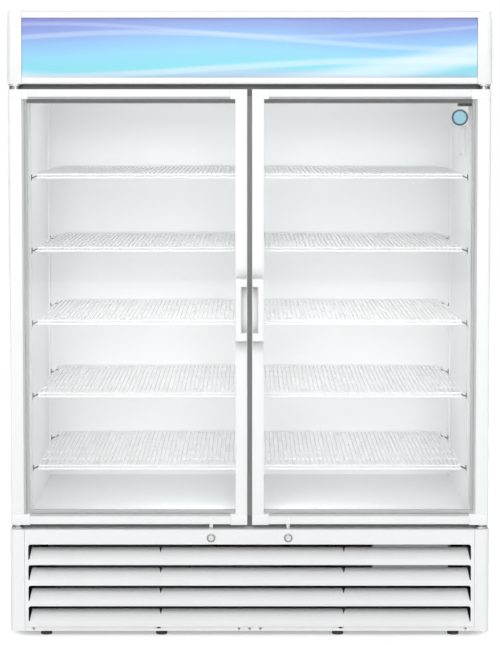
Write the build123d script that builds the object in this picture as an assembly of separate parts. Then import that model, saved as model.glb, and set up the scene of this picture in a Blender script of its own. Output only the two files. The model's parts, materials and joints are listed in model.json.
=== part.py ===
from build123d import *
import os
from math import cos, floor, radians, sin

# A free-standing refrigerated display cabinet with two hinged glass doors, in millimetres.
# X runs across the doors, +Y runs from the doors to the back and +Z runs up.
# The origin is on the floor, under the middle of the outer box.

# Overall sizes
cabinet_width = 1381.0
cabinet_height = 1795.0
body_depth = 762.0
handle_reach = 38.0

# Sheet metal and insulated walls
sheet = 1.2
liner = 1.0
trim = 4.0
side_wall = 50.5
back_wall = 62.0
top_wall = 50.0
head_wall = 50.0
floor_wall = 48.0

# Heights of the front, from the floor up
foot_height = 14.0
base_strip = 13.0
grille_height = 283.0
lower_gap = 16.0
sill_lap = 14.0
header_height = 206.0
upper_gap = 15.0
head_lap = 19.0

# Base
base_depth = 25.0
base_plate = 2.0
base_setback = 4.0
rib_x = 255.0
rib_plate = 2.0
upright = 36.0
upright_plate = 2.5

# Doors
door_thickness = 46.0
seal_gap = 8.0
centre_gap = 14.0
door_side_inset = 2.5
door_wall = 2.5
outer_stile = 39.0
inner_stile = 34.0
inner_tube = 22.0
top_rail = 21.0
bottom_rail = 22.0
bead_top = 6.6
bead_side = 6.0
bead_bottom = 6.0
bead_setback = 6.0
bead_plate = 6.0
pane = 4.0
air_space = 16.0
reveal_side = 13.0
reveal_top = 18.6
reveal_bottom = 16.0
glass_play = 1.0
corner_outer = 56.5
corner_inner = 48.0
corner_height = 28.0
corner_drop = 2.5
gasket_width = 12.0
gasket_inset = 14.0
gasket_play = 0.3

# Handles
handle_height = 178.0
handle_bar = 17.0
handle_arm = 23.0
handle_plate = 12.0
handle_middle = 947.0
handle_round = 3.0

# Door pivots
pivot_inset = 20.0
pivot_pin = 4.0
pivot_play = 0.05
pivot_boss = 10.0
pivot_length = 18.0
hinge_width = 35.0
hinge_plate = 5.0
hinge_leg = 60.0
rest_play = 0.3

# Header and lower corner posts
cap_width = 42.7
cap_wall = 2.5
corner_round = 14.0
seam = 0.6
header_sheet = 2.0
header_lip_top = 17.0
header_lip_bottom = 17.0
sign_setback = 8.0
sign_plate = 3.0
lamp_bar = 12.0

# Louvred panel below the doors
grille_plate = 2.0
grille_band = 43.0
louvre_count = 4
louvre_pitch = 60.0
louvre_open = 44.0
louvre_rise = 31.0
louvre_reach = 24.0
louvre_side = 10.5
louvre_round = 7.0
louvre_cut = 3.0
louvre_taper = 5.5
louvre_slit_width = 9.0
louvre_slit_depth = 14.0
louvre_slit_left = -257.0
louvre_slit_right = 272.0
grille_flange = 44.0
notch_width = 14.0
notch_height = 5.0
screw_head = 3.5
screw_shank = 1.6
screw_reach = 9.0
screw_play = 0.1

# Locks
lock_x = 111.0
lock_drop = 24.0
lock_ring = 12.8
lock_ring_plate = 2.0
lock_body = 10.0
lock_barrel = 7.5
lock_play = 0.05
lock_length = 24.0
cam_radius = 10.0
cam_plate = 3.0
cam_peg = 2.5
peg_play = 0.6
bolt_width = 10.0
bolt_plate = 5.0
bolt_play = 1.5
bolt_proud = 13.0

# Levelling feet
foot_x = 589.0
foot_pad = 16.5
foot_pad_height = 9.0
foot_neck = 8.0
foot_stud = 5.0
foot_stud_length = 20.0
foot_boss = 13.0
foot_inset = 30.0
foot_play = 0.05

# Shelves and what carries them
shelf_levels = 5
shelf_pitch = 213.0
shelf_first = 124.0
shelf_front = 50.0
shelf_back = 10.0
shelf_inner = 8.0
shelf_side = 6.0
wire = 5.5
wire_pitch = 13.0
lip_drop = 12.5
ledge_rise = 24.0
ledge_inset = 15.0
cross_bays = 5
post_every = 6
pilaster_width = 20.0
pilaster_plate = 5.0
pilaster_slot = 3.0
pilaster_slot_height = 9.0
pilaster_pitch = 25.4
pilaster_margin = 12.0
pilaster_play = 1.0
clip_width = 12.0
clip_plate = 4.0
clip_reach = 24.0
clip_drop = 22.0
mullion_width = 70.0
mullion_depth = 40.0
mullion_wall = 1.5
lamp_width = 12.0
lamp_depth = 8.0

# Lamp switch and air sensor
switch_width = 40.0
switch_depth = 36.0
switch_height = 29.0
rocker_width = 14.0
rocker_height = 20.0
rocker_depth = 8.0
rocker_tilt = 10.0
rocker_pin = 1.5
rocker_play = 0.05
sensor_width = 120.0
sensor_height = 84.0
sensor_depth = 14.0
sensor_level = 1380.0
sensor_from_front = 148.0

# Cooling unit above the shelves
cover_plate = 2.0
cover_from_front = 52.0
cover_lift = 34.0
evaporator_fan_x = 250.0
evaporator_fan_radius = 68.0
fan_hole_play = 5.0
fan_guard_ring = 3.0
coil_width = 1000.0
coil_depth = 150.0
coil_height = 120.0
coil_from_front = 222.0
pan_rim = 20.0
pan_plate = 1.5
pan_depth = 9.0

# Fans and their motors
fan_blades = 5
fan_hub = 15.0
fan_thick = 14.0
fan_sheet = 2.0
fan_pitch = 28.0
fan_gap = 4.0
shaft = 3.0
shaft_play = 0.05
motor_radius = 32.0
motor_length = 40.0
bracket_plate = 2.0
bracket_width = 18.0

# Pipes in the back wall
chase_x = 540.0
chase_width = 116.0
chase_depth = 40.0
chase_top = 90.0
pipe_skin = 4.0
suction_radius = 6.0
liquid_radius = 3.5
drain_radius = 9.0
pipe_pitch = 38.0
pipe_bend = 24.0
drier_radius = 12.0
drier_length = 90.0

# Condensing unit
condenser_x = -365.0
condenser_width = 390.0
condenser_depth = 60.0
condenser_height = 210.0
condenser_from_front = 75.0
fin_pitch = 12.0
fin_gap = 4.0
fin_cut = 4.0
shroud_depth = 44.0
shroud_plate = 1.5
condenser_fan_radius = 88.0
compressor_x = 180.0
compressor_from_back = 200.0
compressor_radius = 88.0
compressor_height = 178.0
compressor_round = 42.0
compressor_foot = 100.0
compressor_foot_plate = 3.0
grommet_radius = 13.0
grommet_height = 18.0
grommet_neck = 4.0
stub_length = 14.0
catch_width = 210.0
catch_depth = 150.0
catch_height = 46.0
catch_plate = 1.5
control_width = 220.0
control_depth = 80.0
control_height = 120.0
control_x = 470.0
control_plate = 2.0
rear_setback = 12.0
rear_slots = 6
rear_slot_width = 240.0
rear_slot_height = 8.0
rear_slot_pitch = 26.0
gland_x = -560.0
gland_radius = 11.0
gland_bore = 4.5
gland_flange = 16.0

# Places that follow from the sizes above
half_width = cabinet_width / 2
inner_half = half_width - side_wall
face_y = handle_reach - (body_depth + handle_reach) / 2
back_y = face_y + body_depth
door_back_y = face_y + door_thickness
front_y = door_back_y + seal_gap
foam_front_y = front_y + trim
head_back_y = front_y + head_wall
inner_back_y = back_y - back_wall

base_top = foot_height + base_depth
grille_bottom = foot_height + base_strip
grille_top = grille_bottom + grille_height
door_bottom = grille_top + lower_gap
floor_z = door_bottom + sill_lap
deck_z = floor_z - floor_wall
header_bottom = cabinet_height - header_height
door_top = header_bottom - upper_gap
opening_top = door_top - head_lap
ceiling_z = cabinet_height - top_wall

door_in = centre_gap / 2
door_out = half_width - door_side_inset
pivot_x = door_out - pivot_inset
pivot_y = face_y + door_thickness / 2
cap_in = half_width - cap_width
skin_in = half_width - sheet
hinge_out = door_out - 1
hinge_in = hinge_out - hinge_width

glass_y = face_y + bead_setback + bead_plate
glass_back_y = glass_y + 2 * pane + air_space
lock_z = grille_top - lock_drop
bolt_y = face_y + lock_length + cam_plate + bolt_plate / 2 + 1.0
bolt_travel = 2 * cam_radius * sin(radians(45))
shelf_front_y = front_y + shelf_front
shelf_back_y = inner_back_y - shelf_back
shelf_out = inner_half - shelf_side
front_post_y = shelf_front_y + 16
rear_post_y = shelf_back_y - 40
cover_y = head_back_y + cover_from_front
cover_z = opening_top + cover_lift
chase_y = inner_back_y + liner + pipe_skin
chase_mid_y = chase_y + chase_depth / 2
drain_x = chase_x - pipe_pitch
suction_x = chase_x
liquid_x = chase_x + pipe_pitch
coil_y = head_back_y + coil_from_front
pan_z = cover_z + cover_plate
coil_z = pan_z + pan_plate
evaporator_fan_z = cover_z + (ceiling_z - cover_z) / 2
condenser_y = face_y + condenser_from_front
condenser_fan_z = base_top + condenser_height / 2
shroud_back_y = condenser_y + condenser_depth + shroud_depth
compressor_y = back_y - compressor_from_back
compressor_base = base_top + grommet_height
bay_top = deck_z - sheet


# Shapes that many pieces share

def block(x, y, z):
    """A box from its low and high places along each axis."""
    size = (x[1] - x[0], y[1] - y[0], z[1] - z[0])
    middle = ((x[0] + x[1]) / 2, (y[0] + y[1]) / 2, (z[0] + z[1]) / 2)
    return Pos(*middle) * Box(*size)


def rod_x(radius, y, z, x):
    """A round bar along X."""
    bar = Cylinder(radius, x[1] - x[0])
    return Pos((x[0] + x[1]) / 2, y, z) * Rot(0, 90, 0) * bar


def rod_y(radius, x, z, y):
    """A round bar along Y."""
    bar = Cylinder(radius, y[1] - y[0])
    return Pos(x, (y[0] + y[1]) / 2, z) * Rot(90, 0, 0) * bar


def rod_z(radius, x, y, z):
    """A round bar along Z."""
    bar = Cylinder(radius, z[1] - z[0])
    return Pos(x, y, (z[0] + z[1]) / 2) * bar


def around_zero(half):
    """The span of a length that is centred on the cabinet."""
    return (-half, half)


def other_side(shape):
    """The same piece on the left of the cabinet."""
    return mirror(shape, about=Plane.YZ)


def both_sides(shape):
    return [shape, other_side(shape)]


def prism_y(points, y):
    """A straight-sided piece along Y, from its outline in the XZ plane."""
    face = make_face(Plane.XZ * Polyline(*points, close=True))
    return Pos(0, y[0], 0) * extrude(face, amount=y[1] - y[0], dir=(0, 1, 0))


def group(solids):
    """Pieces that share one node, kept as separate solids."""
    return Compound([part.solid() for part in solids])


def tube(points, radius, bend):
    """A round pipe along straight runs joined by arcs."""
    path = FilletPolyline(*points, radius=bend)
    section = Plane(origin=path @ 0, z_dir=path % 0) * Circle(radius)
    return sweep(section, path=path)


# Base and outer case

def foot_places():
    """Four feet along the front and one under each back corner."""
    front = face_y + foot_inset
    back = back_y - foot_inset
    places = [(x, front) for x in (-foot_x, -rib_x, rib_x, foot_x)]
    return places + [(-foot_x, back), (foot_x, back)]


def base_frame():
    """A folded steel tray, open below, with ribs, foot bosses and four corner uprights."""
    front = face_y + base_setback
    back = back_y - sheet
    skirt_z = (foot_height, base_top)
    base = block(around_zero(skin_in), (front, back), (base_top - base_plate, base_top))
    base += block(around_zero(skin_in), (front, front + base_plate), skirt_z)
    base += block(around_zero(skin_in), (back - base_plate, back), skirt_z)
    side = block((skin_in - base_plate, skin_in), (front, back), skirt_z)
    rib = block((rib_x - rib_plate / 2, rib_x + rib_plate / 2), (front, back), skirt_z)
    for piece in both_sides(side) + both_sides(rib):
        base += piece
    for x, y in foot_places():
        base += rod_z(foot_boss, x, y, skirt_z)
    for x, y in foot_places():
        base -= rod_z(foot_stud + foot_play, x, y, skirt_z)
    for x in notch_places():
        base -= block(
            (x - notch_width / 2, x + notch_width / 2),
            (front, front + base_plate),
            (grille_bottom - notch_height - 1, grille_bottom - 1),
        )
    for x in screw_places():
        base -= rod_y(screw_shank + screw_play, x, screw_z(), (front, front + base_plate))
    upright_z = (base_top, bay_top)
    for y in (front_y, back - rear_setback - upright):
        web = block((skin_in - upright_plate, skin_in), (y, y + upright), upright_z)
        leaf = block((skin_in - upright, skin_in), (y, y + upright_plate), upright_z)
        for piece in both_sides(web + leaf):
            base += piece
    for piece in both_sides(toe_corner()) + both_sides(front_corner(skirt_z)):
        base -= piece
    return base


def notch_places():
    """The drain notches stand under the louvres' stiffening ribs."""
    return (-rib_x - 9, rib_x + 9)


def screw_places():
    return (-foot_x - 34, -31, 0, 31, foot_x + 34)


def screw_z():
    return foot_height + base_strip / 2


def panel_screws():
    """Pan-head screws along the strip under the louvres."""
    front = face_y + base_setback
    z = screw_z()
    screws = []
    for x in screw_places():
        head = rod_y(screw_head, x, z, (front - 1.8, front))
        screws.append(head + rod_y(screw_shank, x, z, (front, front + screw_reach)))
    return group(screws)


def levelling_foot(place):
    """A pad and a threaded stud that screws into the base."""
    x, y = place
    pad = rod_z(foot_pad, x, y, (0, foot_pad_height))
    pad = chamfer(pad.edges().sort_by(Axis.Z)[-1], 2.5)
    neck = rod_z(foot_neck, x, y, (foot_pad_height, foot_height - rest_play))
    stud_z = (foot_height - rest_play, foot_height + foot_stud_length)
    return pad + neck + rod_z(foot_stud, x, y, stud_z)


def side_panel():
    return block((skin_in, half_width), (front_y, back_y), (foot_height, cabinet_height))


def back_panel():
    return block(around_zero(skin_in), (back_y - sheet, back_y), (bay_top, cabinet_height))


def top_panel():
    z = (cabinet_height - sheet, cabinet_height)
    return block(around_zero(skin_in), (front_y, back_y - sheet), z)


def chase(z):
    """The space in the back wall that the pipes run through."""
    x = (chase_x - chase_width / 2, chase_x + chase_width / 2)
    return block(x, (chase_y, chase_y + chase_depth), z)


def chase_window():
    """The way from the top of the chase into the cooling unit."""
    x = (chase_x - chase_width / 2, chase_x + chase_width / 2)
    return block(x, (inner_back_y, chase_y + 1), (cover_z + cover_plate, chase_top_z()))


def chase_top_z():
    return cover_z + chase_top


def cabinet_bottom():
    plate = block(around_zero(skin_in), (foam_front_y, back_y - sheet), (bay_top, deck_z))
    return plate - chase((bay_top, deck_z))


def insulation():
    """The foam between the outer case and the inner walls, as one block."""
    foam = block(
        around_zero(skin_in),
        (foam_front_y, back_y - sheet),
        (deck_z, cabinet_height - sheet),
    )
    room_x = around_zero(inner_half + liner)
    foam -= block(
        room_x,
        (foam_front_y, inner_back_y + liner),
        (floor_z - liner, opening_top + liner),
    )
    foam -= block(
        room_x,
        (head_back_y - liner, inner_back_y + liner),
        (opening_top, ceiling_z + liner),
    )
    edge = block(
        (inner_half, inner_half + liner),
        (foam_front_y, head_back_y),
        (opening_top, ceiling_z + liner),
    )
    for piece in both_sides(edge):
        foam -= piece
    foam -= chase((deck_z, chase_top_z()))
    return foam - chase_window()


def inner_liner():
    """Seven flat white sheets that line the cold space."""
    inside = around_zero(inner_half)
    deep = (foam_front_y, inner_back_y)
    side = block(
        (inner_half, inner_half + liner),
        (foam_front_y, inner_back_y + liner),
        (floor_z - liner, ceiling_z + liner),
    )
    back = block(
        inside, (inner_back_y, inner_back_y + liner), (floor_z - liner, ceiling_z + liner)
    )
    floor_sheet = block(inside, deep, (floor_z - liner, floor_z))
    roof_y = (head_back_y - liner, inner_back_y)
    ceiling = block(inside, roof_y, (ceiling_z, ceiling_z + liner))
    head_under = block(
        inside, (foam_front_y, head_back_y), (opening_top, opening_top + liner)
    )
    head_inside = block(
        inside, (head_back_y - liner, head_back_y), (opening_top + liner, ceiling_z)
    )
    return group(
        both_sides(side)
        + [back - chase_window(), floor_sheet, ceiling, head_under, head_inside]
    )


def front_trim():
    """The strips round the opening that the door seals press on."""
    y = (front_y, foam_front_y)
    post = block((inner_half, skin_in), y, (bay_top, cabinet_height - sheet))
    inside = around_zero(inner_half)
    head = block(inside, y, (opening_top, cabinet_height - sheet))
    sill = block(inside, y, (bay_top, floor_z))
    return group(both_sides(post) + [head, sill])


def centre_mullion():
    """A hollow upright behind the gap between the doors."""
    x = around_zero(mullion_width / 2)
    y = (front_y, front_y + mullion_depth)
    post = block(x, y, (floor_z, opening_top))
    hollow_x = around_zero(mullion_width / 2 - mullion_wall)
    hollow_y = (y[0] + mullion_wall, y[1] - mullion_wall)
    return post - block(hollow_x, hollow_y, (floor_z, opening_top))


# Header with its sign

def header_housing():
    """A channel whose lips hold the sign panel."""
    x = around_zero(cap_in - seam)
    z = (header_bottom, cabinet_height)
    housing = block(x, (front_y - header_sheet, front_y), z)
    roof_z = (cabinet_height - header_sheet, cabinet_height)
    floor_span = (header_bottom, header_bottom + header_sheet)
    housing += block(x, (face_y, front_y), roof_z)
    housing += block(x, (face_y, front_y), floor_span)
    lip_y = (face_y, face_y + header_sheet)
    housing += block(x, lip_y, (cabinet_height - header_lip_top, cabinet_height))
    return housing + block(x, lip_y, (header_bottom, header_bottom + header_lip_bottom))


def header_end_cap():
    """A moulded end, rounded at its outer corner and open towards the sign."""
    outside = block((cap_in, half_width), (face_y, front_y), (header_bottom, cabinet_height))
    corner = outside.edges().filter_by(Axis.Z).sort_by(Axis.Y)[:2].sort_by(Axis.X)[-1]
    outside = fillet(corner, corner_round)
    hollow = block(
        (cap_in, half_width - cap_wall),
        (face_y + cap_wall, front_y),
        (header_bottom + cap_wall, cabinet_height - cap_wall),
    )
    inner = hollow.edges().filter_by(Axis.Z).sort_by(Axis.Y)[:2].sort_by(Axis.X)[-1]
    return outside - fillet(inner, corner_round - cap_wall)


def sign_panel():
    y = (face_y + sign_setback, face_y + sign_setback + sign_plate)
    z = (header_bottom + header_sheet, cabinet_height - header_sheet)
    return block(around_zero(cap_in - seam), y, z)


def led_lamps():
    """A bar behind the sign and two strips down the back of the centre upright."""
    header_z = header_bottom + header_height / 2
    y = (front_y - header_sheet - lamp_bar, front_y - header_sheet)
    bar = block(
        around_zero(cap_in - cap_width), y, (header_z - lamp_bar, header_z + lamp_bar)
    )
    strip_y = (front_y + mullion_depth, front_y + mullion_depth + lamp_depth)
    outer = mullion_width / 2 - 1
    strip = block(
        (outer - lamp_width, outer),
        strip_y,
        (floor_z + pilaster_margin, opening_top - pilaster_margin),
    )
    return group([bar] + both_sides(strip))


# Lower front

def corner_post():
    """A folded cover that carries the line of the doors down to the base."""
    z = (foot_height, grille_top)
    outside = block((cap_in, half_width), (face_y, front_y), z)
    corner = outside.edges().filter_by(Axis.Z).sort_by(Axis.Y)[:2].sort_by(Axis.X)[-1]
    outside = fillet(corner, corner_round)
    hollow = block((cap_in, skin_in), (face_y + sheet, front_y), (foot_height, grille_top - sheet))
    inner = hollow.edges().filter_by(Axis.Z).sort_by(Axis.Y)[:2].sort_by(Axis.X)[-1]
    post = outside - fillet(inner, corner_round - sheet)
    leaf_room = block(
        (cap_in, skin_in),
        (front_y - hinge_plate, front_y),
        (grille_top - sheet, grille_top),
    )
    post -= leaf_room
    return post - toe_corner()


def front_corner(z):
    """The sliver outside the inner rounding of a corner post."""
    middle_x = half_width - corner_round
    middle_y = face_y + corner_round
    sliver = block((middle_x, half_width), (face_y, middle_y), z)
    return sliver - rod_z(corner_round - sheet, middle_x, middle_y, z)


def toe_corner():
    """The sliver outside the rounding at the cabinet's lower right corner."""
    middle_x = half_width - corner_round
    middle_z = foot_height + corner_round
    y = (face_y, front_y)
    sliver = block((middle_x, half_width), y, (foot_height, middle_z))
    return sliver - rod_y(corner_round, middle_x, middle_z, y)


def louvre_blade(top):
    """One tongue with tapered ends and two V cuts, bent back from its lower edge."""
    y = face_y
    low = top - louvre_open
    high = low + louvre_rise
    slope = louvre_rise / louvre_reach
    thick = grille_plate * (1 + slope**2) ** 0.5
    profile = Polyline(
        (y, low),
        (y + louvre_reach, high),
        (y + louvre_reach, high - thick),
        (y + grille_plate, low + grille_plate * slope - thick),
        (y, low - grille_plate),
        close=True,
    )
    half = cap_in - louvre_side - louvre_cut
    face = Plane.YZ * make_face(profile)
    blade = Pos(-half, 0, 0) * extrude(face, amount=2 * half, dir=(1, 0, 0))
    deep = (y, y + louvre_reach)
    end = prism_y([(half, low), (half, high), (half - louvre_taper, high)], deep)
    for piece in both_sides(end):
        blade -= piece
    for x in (louvre_slit_left, louvre_slit_right):
        blade -= prism_y(
            [
                (x - louvre_slit_width / 2, high),
                (x + louvre_slit_width / 2, high),
                (x, high - louvre_slit_depth),
            ],
            deep,
        )
    return blade


def grille_panel():
    """A pressed sheet with four louvres, an upper band for the locks and two flanges."""
    half = cap_in - seam
    y = (face_y, face_y + grille_plate)
    panel = block(around_zero(half), y, (grille_bottom, grille_top))
    slot_half = cap_in - louvre_side
    for i in range(louvre_count):
        top = grille_top - grille_band - i * louvre_pitch
        slot = block(around_zero(slot_half), y, (top - louvre_open, top))
        corners = slot.edges().filter_by(Axis.Y).sort_by(Axis.Z)[-2:]
        panel -= fillet(corners, louvre_round)
    for i in range(louvre_count):
        panel += louvre_blade(grille_top - grille_band - i * louvre_pitch)
    flange_y = (face_y, face_y + grille_flange)
    panel += block(around_zero(half), flange_y, (grille_top - grille_plate, grille_top))
    foot_y = (face_y, face_y + base_setback)
    panel += block(around_zero(half), foot_y, (grille_bottom, grille_bottom + grille_plate))
    for x in (-lock_x, lock_x):
        panel -= rod_y(lock_body, x, lock_z, y)
        panel -= bolt_slot(x, (grille_top - grille_plate, grille_top))
    return panel


def bolt_slot(x, z):
    """The hole that a lock bolt slides through, a little wider than the bolt."""
    half = bolt_width / 2 + bolt_play
    deep = bolt_plate / 2 + bolt_play
    return block((x - half, x + half), (bolt_y - deep, bolt_y + deep), z)


# Locks

def lock_shell(x):
    """The fixed part of a lock, with a collar that clamps it in the panel."""
    ring_y = (face_y - lock_ring_plate, face_y)
    body_y = (face_y, face_y + lock_length)
    nut_y = (face_y + grille_plate, face_y + 3 * grille_plate)
    shell = rod_y(lock_ring, x, lock_z, ring_y) + rod_y(lock_body, x, lock_z, body_y)
    shell += rod_y(lock_ring, x, lock_z, nut_y)
    return shell - rod_y(lock_barrel + lock_play, x, lock_z, (ring_y[0], body_y[1]))


def lock_barrel_piece(x):
    """The turning part of a lock, with a key slot in front and a cam peg behind."""
    front = face_y - lock_ring_plate
    back = face_y + lock_length + rest_play
    barrel = rod_y(lock_barrel, x, lock_z, (front, back))
    slot = block((x - 0.8, x + 0.8), (front, front + 6), (lock_z - 3.5, lock_z + 3.5))
    cam_y = (back, back + cam_plate)
    cam = rod_y(cam_radius + cam_peg + 1.5, x, lock_z, cam_y)
    peg_x = x + cam_radius * cos(radians(-45))
    peg_z = lock_z + cam_radius * sin(radians(-45))
    peg = rod_y(cam_peg, peg_x, peg_z, (cam_y[1], cam_y[1] + bolt_plate))
    return barrel - slot + cam + peg


def lock_bolt(x):
    """A flat bolt that the cam peg lifts, with a cross slot for the peg."""
    y = (bolt_y - bolt_plate / 2, bolt_y + bolt_plate / 2)
    half = bolt_width / 2
    yoke_half = cam_radius + cam_peg + 4
    peg_z = lock_z + cam_radius * sin(radians(-45))
    room = cam_peg + peg_play
    yoke_z = (peg_z - room - 5, peg_z + room + 5)
    bolt = block((x - half, x + half), y, (yoke_z[1], grille_top + bolt_proud))
    bolt += block((x - yoke_half, x + yoke_half), y, yoke_z)
    slot_x = (x + cam_radius * cos(radians(45)) - room, x + cam_radius + room)
    return bolt - block(slot_x, y, (peg_z - room, peg_z + room))


# Doors, built for the right-hand side

def door_tube(x, z):
    """A hollow frame member over the door's full thickness."""
    y = (face_y, door_back_y)
    member = block(x, y, z)
    along_z = z[1] - z[0] > x[1] - x[0]
    hollow_y = (y[0] + door_wall, y[1] - door_wall)
    if along_z:
        return member - block((x[0] + door_wall, x[1] - door_wall), hollow_y, z)
    return member - block(x, hollow_y, (z[0] + door_wall, z[1] - door_wall))


def glass_box(play):
    """The space of the sealed glass unit, with play all round its edge."""
    x = (door_in + inner_tube + glass_play - play, door_out - outer_stile - glass_play + play)
    z = (
        door_bottom + bottom_rail + glass_play - play,
        door_top - top_rail - glass_play + play,
    )
    return x, (glass_y, glass_back_y), z


def door_frame():
    """Two stiles, two rails and four corner pieces."""
    bead_y = (face_y + bead_setback, glass_y)
    back_y_span = (glass_back_y, door_back_y)
    stile_z = (door_bottom + corner_height, door_top - corner_height)
    stile_x = (door_out - outer_stile, door_out)
    outer = door_tube(stile_x, stile_z)
    for y in (bead_y, back_y_span):
        outer += block((stile_x[0] - bead_side, stile_x[0]), y, stile_z)
    inner = door_tube((door_in, door_in + inner_tube), stile_z)
    inner_lip = (door_in + inner_tube, door_in + inner_stile)
    for y in ((face_y, glass_y), back_y_span):
        inner += block(inner_lip, y, stile_z)
    rail_x = (door_in + corner_inner, door_out - corner_outer)
    top = door_tube(rail_x, (door_top - top_rail, door_top))
    bottom = door_tube(rail_x, (door_bottom, door_bottom + bottom_rail))
    for y in (bead_y, back_y_span):
        top += block(rail_x, y, (door_top - top_rail - bead_top, door_top - top_rail))
        low = door_bottom + bottom_rail
        bottom += block(rail_x, y, (low, low + bead_bottom))
    bottom -= bolt_slot(lock_x, (door_bottom, door_bottom + door_wall))
    corners = []
    for x in ((door_in, rail_x[0]), (rail_x[1], door_out)):
        for z in ((door_bottom - corner_drop, stile_z[0]), (stile_z[1], door_top)):
            corners.append(block(x, (face_y, door_back_y), z) - block(*glass_box(glass_play)))
    bore = pivot_length + 1
    low_bore = (door_bottom - corner_drop, door_bottom + bore)
    high_bore = (door_top - bore, door_top)
    hole = pivot_pin + pivot_play
    corners[2] -= rod_z(hole, pivot_x, pivot_y, low_bore)
    corners[3] -= rod_z(hole, pivot_x, pivot_y, high_bore)
    return group([outer, inner, top, bottom] + corners)


def door_glass():
    """Two panes with a spacer bar between them."""
    x, y, z = glass_box(0)
    front = block(x, (y[0], y[0] + pane), z)
    rear = block(x, (y[1] - pane, y[1]), z)
    gap = (y[0] + pane, y[1] - pane)
    edge = bead_side - glass_play
    bar = block((x[0] + edge, x[1] - edge), gap, (z[0] + edge, z[1] - edge))
    seen_x = (door_in + inner_stile, door_out - outer_stile - reveal_side)
    seen_z = (
        door_bottom + bottom_rail + reveal_bottom,
        door_top - top_rail - reveal_top,
    )
    return group([front, rear, bar - block(seen_x, gap, seen_z)])


def door_gasket():
    """A soft ring on the back of the door that meets the trim."""
    y = (door_back_y, front_y - gasket_play)
    x = (door_in + gasket_inset / 2, pivot_x - gasket_inset / 2)
    z = (door_bottom + 1, opening_top + gasket_width + 2)
    ring = block(x, y, z)
    inside_x = (x[0] + gasket_width, x[1] - gasket_width)
    inside_z = (z[0] + gasket_width, z[1] - gasket_width)
    return ring - block(inside_x, y, inside_z)


def door_handle():
    """A C-shaped pull that stands off the stile, open towards the gap between the doors."""
    x = (door_in, door_in + inner_stile)
    z = (handle_middle - handle_height / 2, handle_middle + handle_height / 2)
    grip = block(x, (face_y - handle_reach, face_y), z)
    opening_z = (z[0] + handle_arm, z[1] - handle_arm)
    grip -= block((x[0], x[1]), (face_y - handle_reach + handle_plate, face_y), opening_z)
    mouth = (x[0], x[1] - handle_bar)
    grip -= block(mouth, (face_y - handle_reach, face_y), opening_z)
    rim = grip.edges().filter_by(Axis.Z).sort_by(Axis.Y)[:4]
    rim = rim.filter_by(lambda edge: edge.length > handle_height - 1).sort_by(Axis.X)[-1]
    return fillet(rim, handle_round)


def hinge_brackets():
    """A plate and pin above each door, and an angle and pin below it."""
    y = (face_y + bead_setback, front_y)
    x = (hinge_in, hinge_out)
    plate_z = (header_bottom - hinge_plate, header_bottom)
    upper = block(x, y, plate_z)
    upper += rod_z(pivot_boss, pivot_x, pivot_y, (door_top + rest_play, plate_z[0]))
    pin_z = (door_top - pivot_length, door_top + rest_play)
    upper += rod_z(pivot_pin, pivot_x, pivot_y, pin_z)
    lower = block(x, y, (grille_top, grille_top + hinge_plate))
    leg_z = (grille_top - hinge_leg, grille_top)
    lower += block(x, (front_y - hinge_plate, front_y), leg_z)
    rest_z = door_bottom - corner_drop - rest_play
    boss_z = (grille_top + hinge_plate, rest_z)
    lower += rod_z(pivot_boss, pivot_x, pivot_y, boss_z)
    pin_z = (rest_z, door_bottom + pivot_length)
    lower += rod_z(pivot_pin, pivot_x, pivot_y, pin_z)
    return group(both_sides(upper) + both_sides(lower))


# Shelves

def shelf_deck_z(level):
    """The top of the wires of a shelf, counted from the lowest one."""
    return floor_z + shelf_first + lip_drop + wire + level * shelf_pitch


def wire_shelf(level):
    """A wire mat, with a front edge welded under it and a ledge welded on at the back."""
    x = (shelf_inner, shelf_out)
    y = (shelf_front_y, shelf_back_y)
    top = shelf_deck_z(level)
    width = x[1] - x[0] - wire
    gaps = floor(width / wire_pitch)
    pitch = width / gaps
    bay = (y[1] - y[0] - wire) / cross_bays
    mat = holed_sheet(x, y, (top - wire, top), (pitch, bay), (gaps, cross_bays))
    low = top - wire - lip_drop
    front = (y[0], y[0] + wire)
    edge = block(x, front, (low, low + wire))
    for i in range(0, gaps + 1, post_every):
        post = (x[0] + i * pitch, x[0] + i * pitch + wire)
        edge += block(post, front, (low + wire, top - wire))
    ledge_z = top + ledge_rise
    back = (y[1] - wire, y[1])
    ledge_x = (x[0] + ledge_inset, x[1] - ledge_inset)
    ledge = block(ledge_x, back, (ledge_z - wire, ledge_z))
    for post in ((ledge_x[0], ledge_x[0] + wire), (ledge_x[1] - wire, ledge_x[1])):
        ledge += block(post, back, (top, ledge_z - wire))
    return [mat, edge, ledge]


def holed_sheet(x, y, z, pitch, count):
    """A flat net, made as one face with its openings already in it."""
    middle = ((x[0] + x[1]) / 2, (y[0] + y[1]) / 2)
    rim = Wire.make_rect(x[1] - x[0], y[1] - y[0], Plane((*middle, z[0])))
    openings = []
    for i in range(count[0]):
        for j in range(count[1]):
            place = (x[0] + wire + i * pitch[0], y[0] + wire + j * pitch[1], z[0])
            wide = pitch[0] - wire
            deep = pitch[1] - wire
            centre = (place[0] + wide / 2, place[1] + deep / 2, z[0])
            openings.append(Wire.make_rect(wide, deep, Plane(centre)))
    return extrude(Face(rim, openings), amount=z[1] - z[0], dir=(0, 0, 1))


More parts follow.
